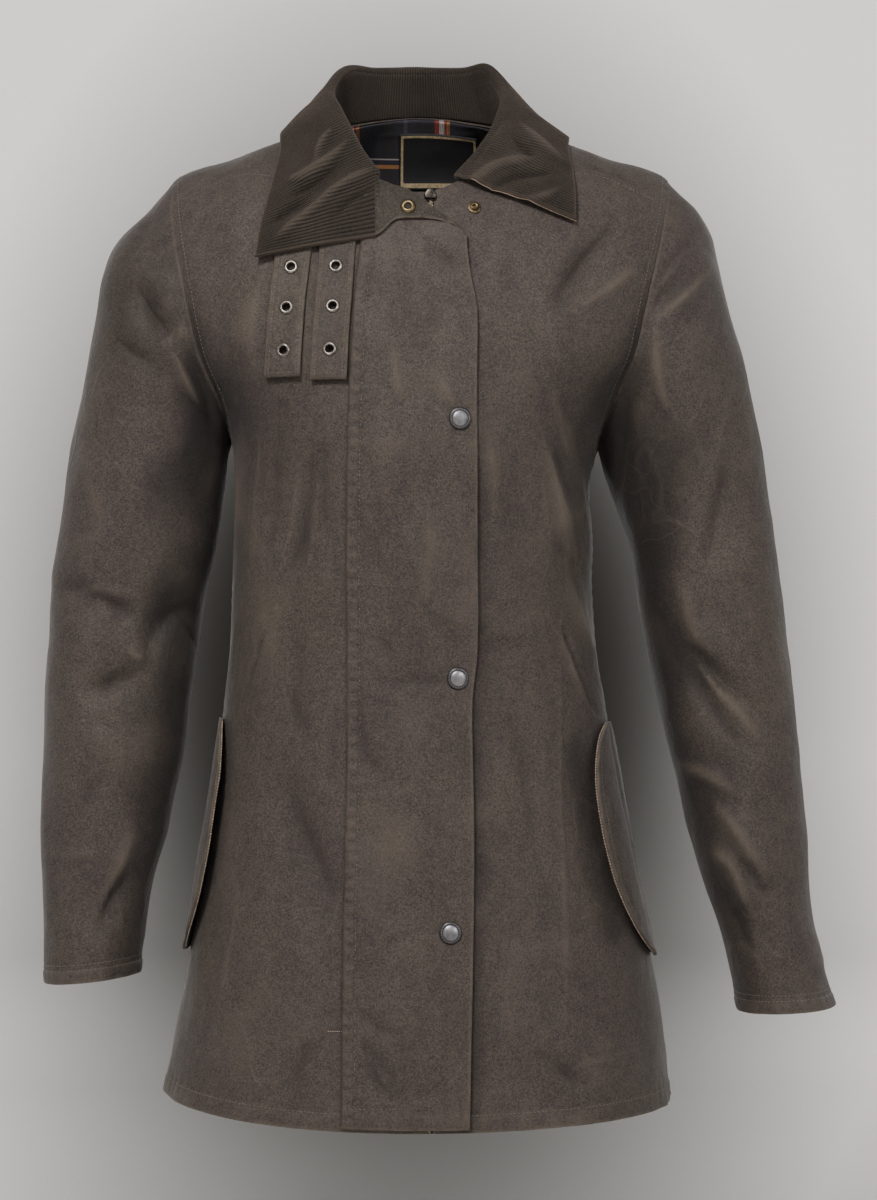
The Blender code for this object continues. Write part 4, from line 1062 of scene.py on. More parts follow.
def front_line(path, lift, steps=60):
    """A line for stitches over the front, from a few (x, z) places."""
    path = smooth(path, np.linspace(0, len(path) - 1, steps))
    return on_front(path[:, 0], path[:, 1], lift), front_normal(path[:, 0], path[:, 1])


# %% [markdown]
# ## The body
#
# Two fronts and a back. Their edges dip where they are sewn together, so a seam reads as a groove, and
# the cloth puckers a little on each side of it. Below the hem's stitches the cloth is double, so it
# stands a little proud, and the stitches pull small waves into the edge.

# %% Relief of seams and hems
HEM_DEPTH = 13.0


def pucker(along, pitch, phase=0.0):
    """Small uneven waves along a seam, from -1 to 1."""
    return np.sin(2 * math.pi * along / pitch + 1.7 * np.sin(along / 23.0 + phase) + phase)


def seam_relief(distance, along, depth=1.1, pitch=11.0, height=0.28):
    """Lift in millimetres near a sewn edge."""
    waves = height * pucker(along, pitch) * bump(distance - 5.0, 5.0)
    return waves - depth * bump(distance, 1.7)


def hem_relief(above, along, stitch=HEM_DEPTH, height=0.5):
    """Lift in millimetres near a turned-up hem; above is the height over its edge."""
    double = 0.55 * (1 - step_up(above, stitch - 1.5, stitch + 1.5))
    waves = height * pucker(along, 9.5, 1.0) * bump(above - stitch, 8.0)
    waves += 0.8 * height * pucker(along, 31.0, 2.0) * bump(above, 14.0)
    return double + waves - 0.5 * bump(above - stitch, 1.2) - 0.4 * bump(above, 1.0)


def hem_edge(above, stitch=HEM_DEPTH):
    return np.maximum(bump(above, 2.2), 0.4 * bump(above - stitch, 1.6))


print("a seam dips", round(-float(seam_relief(0.0, 0.0)), 2), "mm")


# %% Body panels
PLACKET_EDGES = (
    # z, sewn_x, free_x
    (-58, -41.0, 37.5),
    (-108, -43.5, 38.0),
    (-134, -46.5, 43.0),
    (-160, -49.0, 45.5),
    (-216, -51.8, 45.0),
    (-342, -54.0, 44.5),
    (-426, -53.5, 45.0),
    (-461, -53.4, 41.5),
    (-520, -53.8, 42.0),
    (-610, -56.0, 42.6),
    (-780, -57.2, 39.4),
)
ARMPIT_X, ARMPIT_Z, ARMPIT_REACH = 158, -225, 34
FLAP_SHADOW = ((122, -500), (129, -545), (138, -592), (152, -640))
EYELET_PLACES = ((-96.6, -128.5), (-99.8, -160.0), (-101.3, -193.0),
                 (-62.1, -128.5), (-64.1, -160.0), (-66.2, -193.0))
LOW_ROWS, HIGH_ROWS, ARM_STEP = 158, 36, 2.0
NARROW = 3.0


def body_rows():
    middle, half = (ARMPIT + SHOULDER) / 2, (SHOULDER - ARMPIT) / 2
    around = np.radians(np.arange(ARM_STEP, 180, ARM_STEP))
    low = np.concatenate((np.array((0.0, 0.006, 0.014, 0.024)), np.linspace(0.035, ARMPIT, LOW_ROWS)))
    high = np.linspace(SHOULDER, NECK, HIGH_ROWS)
    cut_back = np.concatenate((np.full(len(low), SEAM_TURN), ARMHOLE_TURN * np.sin(around),
                               np.full(len(high), SEAM_TURN)))
    return np.concatenate((low, middle - half * np.cos(around), high)), cut_back


def body_shade(place, side, ring):
    """Where light is kept away: by the arms, the placket's free edge, a flap and the eyelets."""
    x, z, in_front = place[..., 0], place[..., 2], place[..., 1] < 0
    shade = 0.8 * bump(np.hypot(np.abs(x) - ARMPIT_X, z - ARMPIT_Z), ARMPIT_REACH)
    beyond = x - read_along(PLACKET_EDGES, z)[1]
    beside_placket = bump(np.maximum(beyond, 0), 9) * (beyond > -6) * step_up(-z, 150, 320)
    from_flap, _ = distance_to_path(place[..., [0, 2]], np.array(FLAP_SHADOW, float))
    shade = np.maximum(shade, np.maximum(0.6 * beside_placket, 0.7 * bump(from_flap, 11))) * in_front
    low_armhole = step_up(ring, 5.6, 6.0) * (1 - step_up(ring, 6.9, 8.0))
    shade = np.maximum(shade, 0.95 * bump(side, 15) * low_armhole)
    for eyelet_x, eyelet_z in EYELET_PLACES:
        shade = np.maximum(shade, bump(np.hypot(x - eyelet_x, z - eyelet_z), 3.6) * in_front)
    return shade


def panel(name, first_turn, last_turn, rows, columns, width_mm):
    share = closer_at_ends(columns, width_mm)
    turn = first_turn[:, None] + (last_turn - first_turn)[:, None] * share
    ring = np.repeat(rows[:, None], len(share), 1)
    place = bare_body(turn, ring) / MM
    from_first, above = run_along(place, 1), run_along(place, 0)
    from_last = from_first[:, -1:] - from_first
    side = np.minimum(from_first, from_last)
    lift = hem_relief(above, from_first) - 0.6 * bump(above[-1:] - above, 2.0)
    lift = lift + seam_relief(from_first, above) + seam_relief(from_last, above)
    inner = np.maximum(-CLOTH + lift, -CLOTH) - 0.1
    relief = body_relief(bare_body(turn, ring)) / MM + lift
    ridges = [crease for crease in FRONT_CREASES if crease[0] < NARROW and crease[1] > 0]
    rubbed = np.clip(crease_rise(place * MM, ridges) / MM, 0, 1) * (place[..., 1] < 0)
    edge = np.maximum(hem_edge(above), 0.55 * np.maximum(bump(side - 2.2, 1.6), rubbed))
    return shell(name, body(turn, ring, lift), body(turn, ring, inner), (WAX, CHECK),
                 edge=edge, relief=relief, shade=body_shade(place, side, ring))


rows, cut_back = body_rows()
half_zip = ZIP_WIDTH / 2 + SEAM
front_right = panel("front_right", -(90 - cut_back), zip_turn(rows, ZIP_X - half_zip), rows, 78, 250)
front_left = panel("front_left", zip_turn(rows, ZIP_X + half_zip), 90 - cut_back, rows, 78, 230)
back = panel("back", 90 + cut_back, 270 - cut_back, rows, 88, 470)
sew_in(front_right, ("front_right",))
sew_in(front_left, ("front_left",))
sew_in(back, ("back",))
print("panels:", [count_triangles(piece) for piece in (front_right, front_left, back)], "triangles")

# %% [markdown]
# ## The sleeves
#
# A sleeve is a tube whose first ring is the armhole's own edge. Its large folds sit at the elbow and
# under the arm, and the finer creases cross them. The cuff has a narrow turned hem with two rows of
# stitches, and a seam runs down behind.

# %% Sleeve surface


def armhole(side, around):
    """The armhole's edge. around: 0 under the arm, 90 behind, 180 on the shoulder; side: -1 right, 1 left."""
    around = np.radians(around)
    middle, half = (ARMPIT + SHOULDER) / 2, (SHOULDER - ARMPIT) / 2
    return side * (90 + ARMHOLE_TURN * np.sin(around)), middle - half * np.cos(around)


def sleeve_surface(side, sections, at, around):
    """Points of a sleeve, how far its large folds lift them, and its middle's place front to back."""
    table = np.asarray(sections, float)

    def section(place):
        outer_x, outer_z, inner_x, inner_z, depth, y_middle, roundness = np.moveaxis(
            smooth(table, place), -1, 0)
        angle = np.radians(around)
        reach = (np.abs(np.cos(angle))**roundness + np.abs(np.sin(angle))**roundness)**(-1 / roundness)
        toward = -np.cos(angle) * reach
        x = (outer_x + inner_x) / 2 + (outer_x - inner_x) / 2 * toward
        z = (outer_z + inner_z) / 2 + (outer_z - inner_z) / 2 * toward
        y = y_middle + depth * np.sin(angle) * reach
        return np.stack((x, y, z), -1) * MM, y_middle * MM

    points, y_middle = section(at)
    turn, ring = armhole(side, around)
    edge = body(turn, ring, 0.0, False)
    outward = body(turn, ring, 1.0, False) - edge
    start, _ = section(np.zeros_like(at))
    onward = unit(section(np.full_like(at, 1.0))[0] - start)
    edge = edge - onward * SLEEVE_TUCK * MM - outward * 0.7
    fade = step_up(CAP_SECTIONS - at, 0, CAP_SECTIONS)
    points = points + (edge - start) * fade[..., None]
    folds = fold_rise(points, SLEEVE_FOLDS_FRONT) * front_share(points, y_middle)
    folds += fold_rise(points, SLEEVE_FOLDS_BACK) * back_share(points, y_middle)
    return points, folds * (1 - fade), y_middle


def cuff_line(height, from_cuff, outer, normals):
    """A closed line of stitches round the cuff, at a height over its edge."""
    rows, columns = from_cuff.shape
    i = np.arange(columns)
    line = np.array([np.interp(height, from_cuff[::-1, c], np.arange(rows)[::-1]) for c in i])
    row = np.minimum(line.astype(int), rows - 2)
    share = (line - row)[:, None]
    here = outer[row, i] * (1 - share) + outer[row + 1, i] * share
    ways = normals[row, i]
    return np.concatenate((here, here[:1])), np.concatenate((ways, ways[:1]))


print("armhole: from ring", armhole(1, 0.0)[1], "to ring", armhole(1, 180.0)[1])


# %% Make the sleeves
SLEEVE_ROWS, SLEEVE_COLUMNS = 220, 92
SLEEVE_TUCK = 1.5
CUFF_STITCHES = (10.0, 14.5)
REAR_SEAM = 62.0


def sleeve(name, side, sections):
    last = len(sections) - 1
    at = np.concatenate(((0.0, 0.02, 0.05, 0.09), np.linspace(0.14, last - 0.07, SLEEVE_ROWS),
                         (last - 0.045, last - 0.025, last - 0.01, last)))
    around = np.arange(SLEEVE_COLUMNS) * 360 / SLEEVE_COLUMNS
    grid_at, grid_around = np.meshgrid(at, around, indexing="ij")
    points, folds, y_middle = sleeve_surface(side, sections, grid_at, grid_around)
    normals = grid_normals(points, wrap=True) * side
    from_head, along = run_along(points / MM, 0), run_along(points / MM, 1)
    from_cuff = from_head[-1:] - from_head
    girth = np.linalg.norm(np.roll(points, -1, 1) - points, axis=-1).sum(1)[:, None] / MM
    creases = crease_rise(points, SLEEVE_CREASES_FRONT) * front_share(points, y_middle)
    creases += crease_rise(points, SLEEVE_CREASES_BACK) * back_share(points, y_middle)
    creases *= step_up(from_head, 2.0, 16.0)
    uneven = ripple(points, 52, 1.8) + crumple(points, 60, 2.3) + ripple(points, 17, 0.4)
    uneven *= step_up(from_head, 4.0, 30.0)
    lift = hem_relief(from_cuff, along, CUFF_STITCHES[0], 0.4)
    lift -= 0.35 * bump(from_cuff - CUFF_STITCHES[1], 1.1)
    lift += seam_relief(from_head, along, 0.2, 10.0, 0.6)
    behind = np.abs(grid_around - REAR_SEAM) * girth / 360
    lift -= 0.8 * bump(behind, 1.6) * step_up(from_head, 4.0, 20.0)
    total = folds + creases + uneven + lift * MM
    outer = points + normals * total[..., None]
    inner = outer - grid_normals(outer, wrap=True) * side * CLOTH * MM
    edge = np.maximum(hem_edge(from_cuff, CUFF_STITCHES[0]), 0.55 * bump(from_head - 2.4, 1.8))
    from_inside = np.abs((grid_around + 180) % 360 - 180) + ripple(points, 60, 30.0) / MM
    shade = (1 - step_up(from_inside, 48, 92)) * (1 - 0.6 * step_up(grid_at, 8.0, 13.0))
    shade *= 0.95 * step_up(from_head, 0.0, 6.0)
    under_cap = np.hypot(points[..., 0] / MM + 214, (points[..., 2] / MM + 150) * 0.8)
    shade = np.maximum(shade, 0.55 * bump(under_cap, 44) * (points[..., 1] < 0))
    piece = shell(name, outer, inner, (WAX, CHECK), wrap=True, edge=edge, shade=shade,
                  relief=(creases + uneven) / MM * 0.6 + lift)
    return piece, [cuff_line(height, from_cuff, outer, normals) for height in CUFF_STITCHES]


sleeve_right, right_cuff = sleeve("sleeve_right", -1, SLEEVE_RIGHT)
sleeve_left, left_cuff = sleeve("sleeve_left", 1, SLEEVE_LEFT)
sew_in(sleeve_right, ("sleeve_right",))
sew_in(sleeve_left, ("sleeve_left",))
sew("cuff_stitches", right_cuff + left_cuff)

# %% Stitches on the body
ARMHOLE_INSET, TURN_A_MM, RING_SHARE_A_MM = 7.0, 0.42, 0.012
hem_turns = np.linspace(-89, 268, 500)


def hem_ring(turn):
    """The ring that lies HEM_DEPTH above the hem's edge."""
    step = 0.2
    rise = bare_body(turn, np.full_like(turn, step)) - bare_body(turn, np.zeros_like(turn))
    return step * HEM_DEPTH * MM / np.linalg.norm(rise, axis=-1)


def armhole_inset(side):
    """A line on the body inside the armhole's edge, all round above the arm."""
    around = np.linspace(12, 348, 150)
    turn, ring = armhole(side, around)
    away = side * np.sin(np.radians(around)) * ARMHOLE_INSET * TURN_A_MM
    return body_line(turn + away, ring + (ring - (ARMPIT + SHOULDER) / 2) * RING_SHARE_A_MM * ARMHOLE_INSET)


hem_line = body_line(hem_turns, hem_ring(hem_turns))
armholes = [armhole_inset(side) for side in (-1, 1)]
shoulders = [front_line(((side * 104, -54), (side * 139, -51), (side * 184, -69)), 0.15) for side in (-1, 1)]
sew("body_stitches", [hem_line] + armholes + shoulders)

# %% [markdown]
# ## The collar
#
# A turned-down collar stands up from the neckline, rolls over and falls. Each station along it is a
# straight stand, a round roll and a nearly straight fall, whose tangents meet. The stations are few and
# the shape between them is smooth, so they are worked out coarsely and then read at hundreds of places
# along, four for each rib of the corduroy.

# %% Collar stations
COLLAR_RIGHT = (
    # neck_turn, neck_drop, roll_x, roll_y, roll_z, edge_x, edge_y, edge_z, lift
    (-180, 0, 0, 72, 53.5, 0, 97, -3, 5.0),
    (-148, 0, -36, 67, 52.5, -46, 91, -8, 5.0),
    (-122, 0, -58, 46, 50.0, -86, 60, -15, 5.0),
    (-94, 0, -70, 12, 28.0, -101, 15, -20, 5.0),
    (-69, 0, -61, -26, 6.0, -106, -45, -42, 6.0),
    (-47, 0, -46, -62, -26.0, -112, -68, -66, 7.0),
    (-24, 0, -31, -83, -56.5, -120, -86, -97, 8.5),
    (-24, 26, -31, -92, -80.0, -122.5, -94, -109, 9.0),
    (-24, 48, -31, -99, -104.0, -125, -100, -119.5, 9.0),
)
COLLAR_LEFT = (
    (148, 0, 35, 67, 52.5, 46, 91, -8, 5.0),
    (122, 0, 56, 46, 51.0, 88, 58, -12, 5.0),
    (93, 0, 68, 8, 23.0, 114, 14, -20, 5.0),
    (69, 0, 62, -26, -3.0, 117, -36, -34, 5.5),
    (47, 0, 50, -54, -27.0, 120, -58, -56, 6.0),
    (34, 0, 40, -69, -41.5, 121, -68, -70, 7.0),
    (23, 0, 30, -82, -56.0, 121.5, -84, -92, 7.5),
)
ROLL_RADIUS, ROLL_SHARE, LEAST_ROLL, ROLL_STEPS = 5.2, 0.4, 2.7, 9
LEAST_STAND, OVER_STRAPS, FALL_SWELL, OPEN_STEP = 8.0, 3.4, 2.2, 1.1
STAND_KEPT, STAND_GONE, NECK_LIFT = 12.0, 2.0, 0.8
FALL_SHARES = np.concatenate((np.linspace(0, 1, 33)[1:-1], (0.983, 1.0)))
COLLAR_STATIONS = 73
RIB_PITCH, RIB_HEIGHT, POINTS_A_RIB, CROWN_POWER = 2.4, 0.9, 4, 0.95


def collar_profile(neck, roll, edge, outward):
    """One station: the leaf's points and ways out of its visible face, and the stand's."""
    stand = np.linalg.norm(neck - roll)
    radius = np.clip(ROLL_SHARE * stand, LEAST_ROLL * MM, ROLL_RADIUS * MM)
    standing = np.clip((stand / MM - STAND_GONE) / (STAND_KEPT - STAND_GONE), 0, 1)
    to_neck, to_edge = (neck - roll) / max(stand, 1e-6), unit(edge - roll)
    up = unit(outward * (1 - standing) - unit(to_neck + to_edge) * standing)
    across = to_edge - to_neck * standing
    out = unit(across - up * (across @ up))
    middle = roll - up * radius

    def touching(point, side):
        """Where a straight line from the point meets the roll's circle, as an angle."""
        a, b = (point - middle) @ out, (point - middle) @ up
        return math.atan2(b, a) + side * math.acos(min(radius / math.hypot(a, b), 1))

    def on_circle(angle):
        return out * math.cos(angle) + up * math.sin(angle)

    start, end = touching(neck, -1) % (2 * math.pi), touching(edge, 1)
    bend = max(start - end, 0.0)
    leaf, faces = [], []
    for step in range(ROLL_STEPS + 1):
        place = bend * radius * step / ROLL_STEPS + (1 - standing) * OPEN_STEP * MM * step
        angle = start - min(place / radius, bend)
        onward = out * math.sin(angle) - up * math.cos(angle)
        leaf.append(middle + on_circle(angle) * radius + onward * max(place - bend * radius, 0.0))
        faces.append(on_circle(angle))
    fall_start, face = leaf[-1], faces[-1]
    for share in FALL_SHARES:
        swell = face * FALL_SWELL * MM * math.sin(math.pi * share)
        leaf.append(fall_start + (edge - fall_start) * share + swell)
        faces.append(face)
    return leaf, faces, (neck, middle + on_circle(start) * radius, on_circle(start))


def collar_stations():
    """The collar, station by station from its right end to its left."""
    table = np.array(COLLAR_RIGHT[::-1] + COLLAR_LEFT, float)
    left = np.arange(len(table)) >= len(COLLAR_RIGHT)
    table[left, 0] -= 360
    leaves, faces, stands = [], [], []
    for neck_turn, neck_drop, rx, ry, rz, ex, ey, ez, lift in smooth(
            table, np.linspace(0, len(table) - 1, COLLAR_STATIONS)):
        neck = body(neck_turn, NECK, 0.0, False)
        roll = np.array((rx, ry, rz)) * MM
        outward = way_off(neck_turn, NECK)
        low = np.clip((STAND_KEPT - np.linalg.norm(neck - roll) / MM) / (STAND_KEPT - STAND_GONE), 0, 1)
        if neck_drop > 0.5:
            place = neck / MM
            neck = on_front(place[0], place[2] - neck_drop, CORDUROY + OVER_STRAPS, False)
            outward = front_normal(place[0], place[2] - neck_drop)
            roll = neck
        else:
            neck = neck + np.array((0, 0, NECK_LIFT)) * MM
            roll = roll + outward * (CORDUROY + 0.4) * low * MM
        edge = kept_clear(np.array((ex, ey, ez)) * MM, lift)
        leaf, leaf_faces, stand = collar_profile(neck, roll, edge, outward)
        leaves.append(leaf)
        faces.append(leaf_faces)
        stands.append(stand)
    leaves, faces = np.array(leaves), np.array(faces)
    first_fall = leaves.shape[1] - len(FALL_SHARES)
    leaves[:, first_fall:] = kept_clear(leaves[:, first_fall:], CORDUROY + OVER_STRAPS)
    faces[:, first_fall:] = -grid_normals(leaves)[:, first_fall:]
    return leaves, faces, np.array(stands)


leaves, leaf_faces, stands = collar_stations()
middle_of_fall = leaves[:, -10]
collar_run = run_along(middle_of_fall, 0) / MM
print("collar is", round(collar_run[-1]), "mm along the middle of its fall")

# %% [markdown]
# The ribs are a rule: at each place, the distance along the collar gives the height of the pile. A tree
# moves each point off the face by that height, with narrow grooves between wide round crowns.

# %% Corduroy ribs


def rib_tree():
    tree, given, result = new_tree("corduroy_ribs", (
        ("Pitch", "Float", RIB_PITCH), ("Height", "Float", RIB_HEIGHT * MM), ("Pile", "Material", None)))
    turns = sum_of(tree, "DIVIDE", carried(tree, "along"), given.outputs["Pitch"])
    wave = sum_of(tree, "ABSOLUTE", sum_of(tree, "SINE", times(tree, turns, math.pi)))
    crown = sum_of(tree, "POWER", wave, CROWN_POWER)
    stored = put(tree, "GeometryNodeStoreNamedAttribute", {
        "Geometry": given.outputs["Geometry"], "Name": "rib", "Value": crown}, data_type="FLOAT")
    rise = times(tree, times(tree, crown, given.outputs["Height"]), carried(tree, "pile"))
    way = put(tree, "GeometryNodeInputNormal")
    offset = put(tree, "ShaderNodeVectorMath", {0: way.outputs[0], "Scale": rise}, operation="SCALE")
    moved = put(tree, "GeometryNodeSetPosition", {"Geometry": stored.outputs[0], "Offset": offset.outputs[0]})
    return hand_over(tree, moved.outputs[0], given.outputs["Pile"], result)


RIBS = rib_tree()


def ribbed(coarse, ways, run, columns_from, columns_to):
    """A corduroy face from a coarse grid of stations, read a few times for each rib.

    Gives its points, the ways off it, how far along and how far from the free edge they lie, and the
    height of its small folds in millimetres.
    """
    length = run[columns_to] - run[columns_from]
    count = int(length / RIB_PITCH * POINTS_A_RIB)
    along = run[columns_from] + np.linspace(0, length, count)
    at = np.interp(along, run, np.arange(len(run))) - columns_from
    grid = smooth(coarse.reshape(len(coarse), -1), at).reshape(count, -1, 3)
    ways = unit(smooth(ways.reshape(len(ways), -1), at).reshape(count, -1, 3))
    bent = crease_rise(grid, COLLAR_CREASES) * front_share(grid, 0.0) + ripple(grid, 24, 0.8)
    from_first = run_along(grid / MM, 1)
    return grid + ways * bent[..., None], ways, along, from_first[:, -1:] - from_first, bent / MM


def corduroy_piece(name, outer, ways, along, to_edge, ends, bent):
    inner = outer - ways * CORDUROY * MM
    edge = np.maximum(0.8 * bump(to_edge, 1.6), ends)
    piece = shell(name, outer, inner, (PILE, PILE), edge=edge, relief=bent, rim=0.0)
    rows, columns = outer.shape[:2]
    places = np.repeat(along[:, None], columns, 1).ravel()
    rim_rows = np.minimum(np.arange(rows), np.arange(rows)[::-1])
    pile = np.minimum(rim_rows / 3.0, 1.0)[:, None] * np.minimum(to_edge / 1.5, 1.0)
    mark(piece, "along", np.concatenate((places, places)))
    mark(piece, "pile", np.concatenate((pile.ravel(), pile.ravel())))
    values = {"Pitch": RIB_PITCH, "Height": RIB_HEIGHT * MM, "Pile": PILE}
    return run_tree(piece, RIBS, values, PILE)


outer, ways, along, to_edge, bent = ribbed(leaves, leaf_faces, collar_run, 0, COLLAR_STATIONS - 1)
ends = 0.8 * np.maximum(bump(along - along[0], 1.6), bump(along - along[-1], 1.6))[:, None]
collar = corduroy_piece("collar", outer, ways, along, to_edge, ends, bent)
sew_in(collar, ("collar",))

fray = outer[-1, ROLL_STEPS + 2:] - ways[-1, ROLL_STEPS + 2:] * 2.3 * MM
sew("collar_fray", [(fray, ways[-1, ROLL_STEPS + 2:])], PALE_THREAD, 1.5, 2.0, 0.9)

# %% The stand
tall = np.linalg.norm(stands[:, 1] - stands[:, 0], axis=1) >= LEAST_STAND * MM
first, last = np.flatnonzero(tall)[[0, -1]]
shares = np.concatenate(((0.0, 0.03, 0.08), np.linspace(0.15, 1.0, 12)))[:, None]
stand_grid = np.array([neck + (top - neck) * shares for neck, top, _ in stands[first:last + 1]])
stand_ways = np.repeat(stands[first:last + 1, 2][:, None], len(shares), 1)
outer, ways, along, to_edge, bent = ribbed(stand_grid, stand_ways, collar_run, first, last)
stand = corduroy_piece("collar_stand", outer, ways, along, np.full_like(to_edge, 9.0),
                       np.zeros((len(along), 1)), bent)
sew_in(stand, ("collar_stand",))
print("collar and stand:", count_triangles(collar), count_triangles(stand), "triangles")

# %% [markdown]
# ## The storm placket
#
# The placket covers the zip. It is sewn down its right side, where a ladder of small puckers shows how
# the thread has drawn the cloth up, and free on the other side, where it is snapped down over the zip.
# Its top corner has come open and folded outward, so its paler inside shows.

# %% Placket surface
PLACKET_TOP = (
    # x, z
    (-44.0, -63.0),
    (-29.0, -63.5),
    (-17.2, -67.5),
    (-9.2, -70.0),
    (5.2, -80.0),
    (16.0, -88.6),
    (26.5, -96.4),
    (34.0, -101.0),
    (38.0, -106.0),
)
PLACKET_LIFT, PLACKET_STAND_OFF = 0.7, 1.2
PLACKET_ROWS, PLACKET_COLUMNS, PLACKET_WIDTH = 246, 48, 98
SNAP_HEIGHTS = (-246, -444, -637)
SNAP_X = (32.3, 30.9, 25.4)
TOPSTITCH_INSET = 10.0
LADDER_PITCH = 10.0


def placket_grid(across, rows):
    """Places over the front, seen from the front."""
    down = np.concatenate((np.linspace(0, 0.012, 5), np.linspace(0.0155, 1, rows)))[:, None]
    sewn_top, free_top = PLACKET_TOP[0][0], PLACKET_TOP[-1][0]
    top_x = sewn_top + (free_top - sewn_top) * across
    (top_z,) = read_along(PLACKET_TOP, top_x)
    sewn_hem, free_hem = PLACKET_EDGES[-1][1:]
    hem_x = sewn_hem + (free_hem - sewn_hem) * across
    hem_ring = np.zeros(len(across)) + 0.03
    hem_z = bare_body(zip_turn(hem_ring, hem_x), hem_ring)[..., 2] / MM
    z = top_z + (hem_z - top_z) * down
    sewn_x, free_x = read_along(PLACKET_EDGES, z)
    x = sewn_x + (free_x - sewn_x) * across
    keep_top = np.clip(1 - down * 12, 0, 1)
    return x + (top_x - x) * keep_top, z


across = closer_at_ends(PLACKET_COLUMNS, PLACKET_WIDTH)
x, z = placket_grid(across, PLACKET_ROWS)
from_sewn, from_free, above, below_top = x - x[:, :1], x[:, -1:] - x, z - z[-1:], z[:1] - z
print("placket reaches from", round(z.max()), "to", round(z.min()), "mm")

# %% How the placket lies, and its relief


def placket_lift():
    """How far its inside stands off the front: less at the snaps, more between them and at the top."""
    wander = ripple(np.stack((x * 0, z * 0, z), -1) * MM, 60, 1.0) / MM
    from_snap = np.min([np.abs(z - height) for height in SNAP_HEIGHTS], axis=0)
    lift = PLACKET_LIFT + PLACKET_STAND_OFF * across + 1.3 * np.abs(wander) * step_up(across, 0.6, 1.0)
    lift = lift + 0.8 * bump(below_top, 24.0) * step_up(across, 0.5, 0.95)
    return lift + 1.7 * step_up(from_snap, 14, 60) * step_up(across, 0.7, 1.0)


def placket_relief(ladder):
    """Its seam with the ladder of puckers, its rolled free edge, its hem, and the pull of the snaps."""
    seams = 0.5 * step_up(from_sewn, 0.5, 2.5) * (1 - step_up(from_sewn, 9.0, 11.5))
    seams += ladder - 0.45 * bump(from_sewn - TOPSTITCH_INSET, 1.1) - 0.5 * bump(from_sewn, 1.2)
    roll = 0.5 * bump(from_free - 3.0, 3.0) + 0.25 * pucker(-z, 37.0, 0.6) * bump(from_free, 10.0)
    snapped = np.zeros_like(x)
    for snap_x, snap_z in zip(SNAP_X, SNAP_HEIGHTS):
        radius = np.hypot(x - snap_x, z - snap_z)
        spokes = np.sin(7 * np.arctan2(z - snap_z, x - snap_x) + snap_z)
        snapped += 0.3 * spokes * bump(radius - 15, 6) - 0.7 * bump(radius, 13)
    return (seams + roll + hem_relief(above, x) + snapped) * step_up(below_top, 1.0, 9.0)


lift = placket_lift()
ladder = 0.9 * pucker(-z, LADDER_PITCH) * bump(from_sewn - 5.0, 4.0)
detail = placket_relief(ladder)
outer = on_front(x, z, lift + CLOTH + np.maximum(detail, -1.2))
inner = on_front(x, z, lift)
turn, ring = find_on_front(x, z)
edge = np.maximum(0.9 * bump(from_free, 2.0), 0.5 * bump(from_sewn - 1.5, 2.0))
edge = np.maximum(np.maximum(hem_edge(above), edge), 0.35 * (ladder > 0.22))
seam_shade = np.maximum(0.85 * bump(from_sewn, 1.3), 0.3 * bump(from_sewn - TOPSTITCH_INSET, 1.2))
placket = shell("storm_placket", outer, inner, (WAX, FACING), edge=edge, shade=seam_shade,
                relief=body_relief(bare_body(turn, ring)) / MM + detail * 0.8)
sew_in(placket, ("storm_placket",))
print("placket:", count_triangles(placket), "triangles")

# %% Placket stitches
TOPSTITCH_TOP, TOPSTITCH_FOOT, HEM_STITCH_Z = -92, -774, -768.0
TACK = ((-67, -711), (-56, -711), (-45, -711))


def over_placket(x, z, share, lift):
    """A line of stitches over the placket, a share of its width from the seam, with the ways off it."""
    return on_front(x, z, PLACKET_LIFT + CLOTH + PLACKET_STAND_OFF * share + lift), front_normal(x, z)


rim = (outer[5:-1, -1], front_normal(x[5:-1, -1], z[5:-1, -1]))
heights = np.linspace(TOPSTITCH_TOP, TOPSTITCH_FOOT, 300)
sewn, free = read_along(PLACKET_EDGES, heights)
topstitch = over_placket(sewn + TOPSTITCH_INSET, heights, TOPSTITCH_INSET / (free - sewn), -0.15)
hem_x = np.linspace(-55.5, 38.5, 60)
placket_hem = over_placket(hem_x, HEM_STITCH_Z - 0.02 * np.abs(hem_x), (hem_x + 57) / 97, 0.1)
tack = front_line(TACK, 0.25, 20)
sew("placket_rim", [rim], THREAD, 2.0, 1.9, 0.5)
sew("placket_stitches", [topstitch, placket_hem])
sew("placket_tack", [tack], PALE_THREAD, 1.6, 1.5, 0.7)

# %% The opened corner
TURNED_CORNER = (
    # x, fold_z, edge_z
    (-32.0, -58.8, -105.5),
    (-26.4, -60.2, -102.0),
    (-17.2, -64.2, -93.5),
    (-9.2, -66.3, -92.0),
    (5.2, -76.5, -92.0),
    (16.0, -85.0, -93.6),
    (26.5, -92.6, -96.4),
    (33.5, -97.6, -101.6),
    (38.2, -103.6, -107.4),
)
CORNER_LIFT, FOLD_LIFT, FOLD_SHARE, CORNER = 6.4, 3.4, 0.16, 1.9
CORNER_STITCHES, STITCHED_DEPTH = 4.5, 8.0
x = np.linspace(TURNED_CORNER[0][0], TURNED_CORNER[-1][0], 64)
fold_z, edge_z = read_along(TURNED_CORNER, x)
down = np.concatenate((np.linspace(0, 0.2, 9), np.linspace(0.23, 1, 26)))[:, None]
rounded = np.sqrt(1 - (1 - np.clip(down / FOLD_SHARE, 0, 1))**2)
lift = FOLD_LIFT + (CORNER_LIFT - FOLD_LIFT) * rounded
z = fold_z + (edge_z - fold_z) * down
x = np.broadcast_to(x, z.shape)
lift = lift - 1.4 * step_up(x, 27, 38)
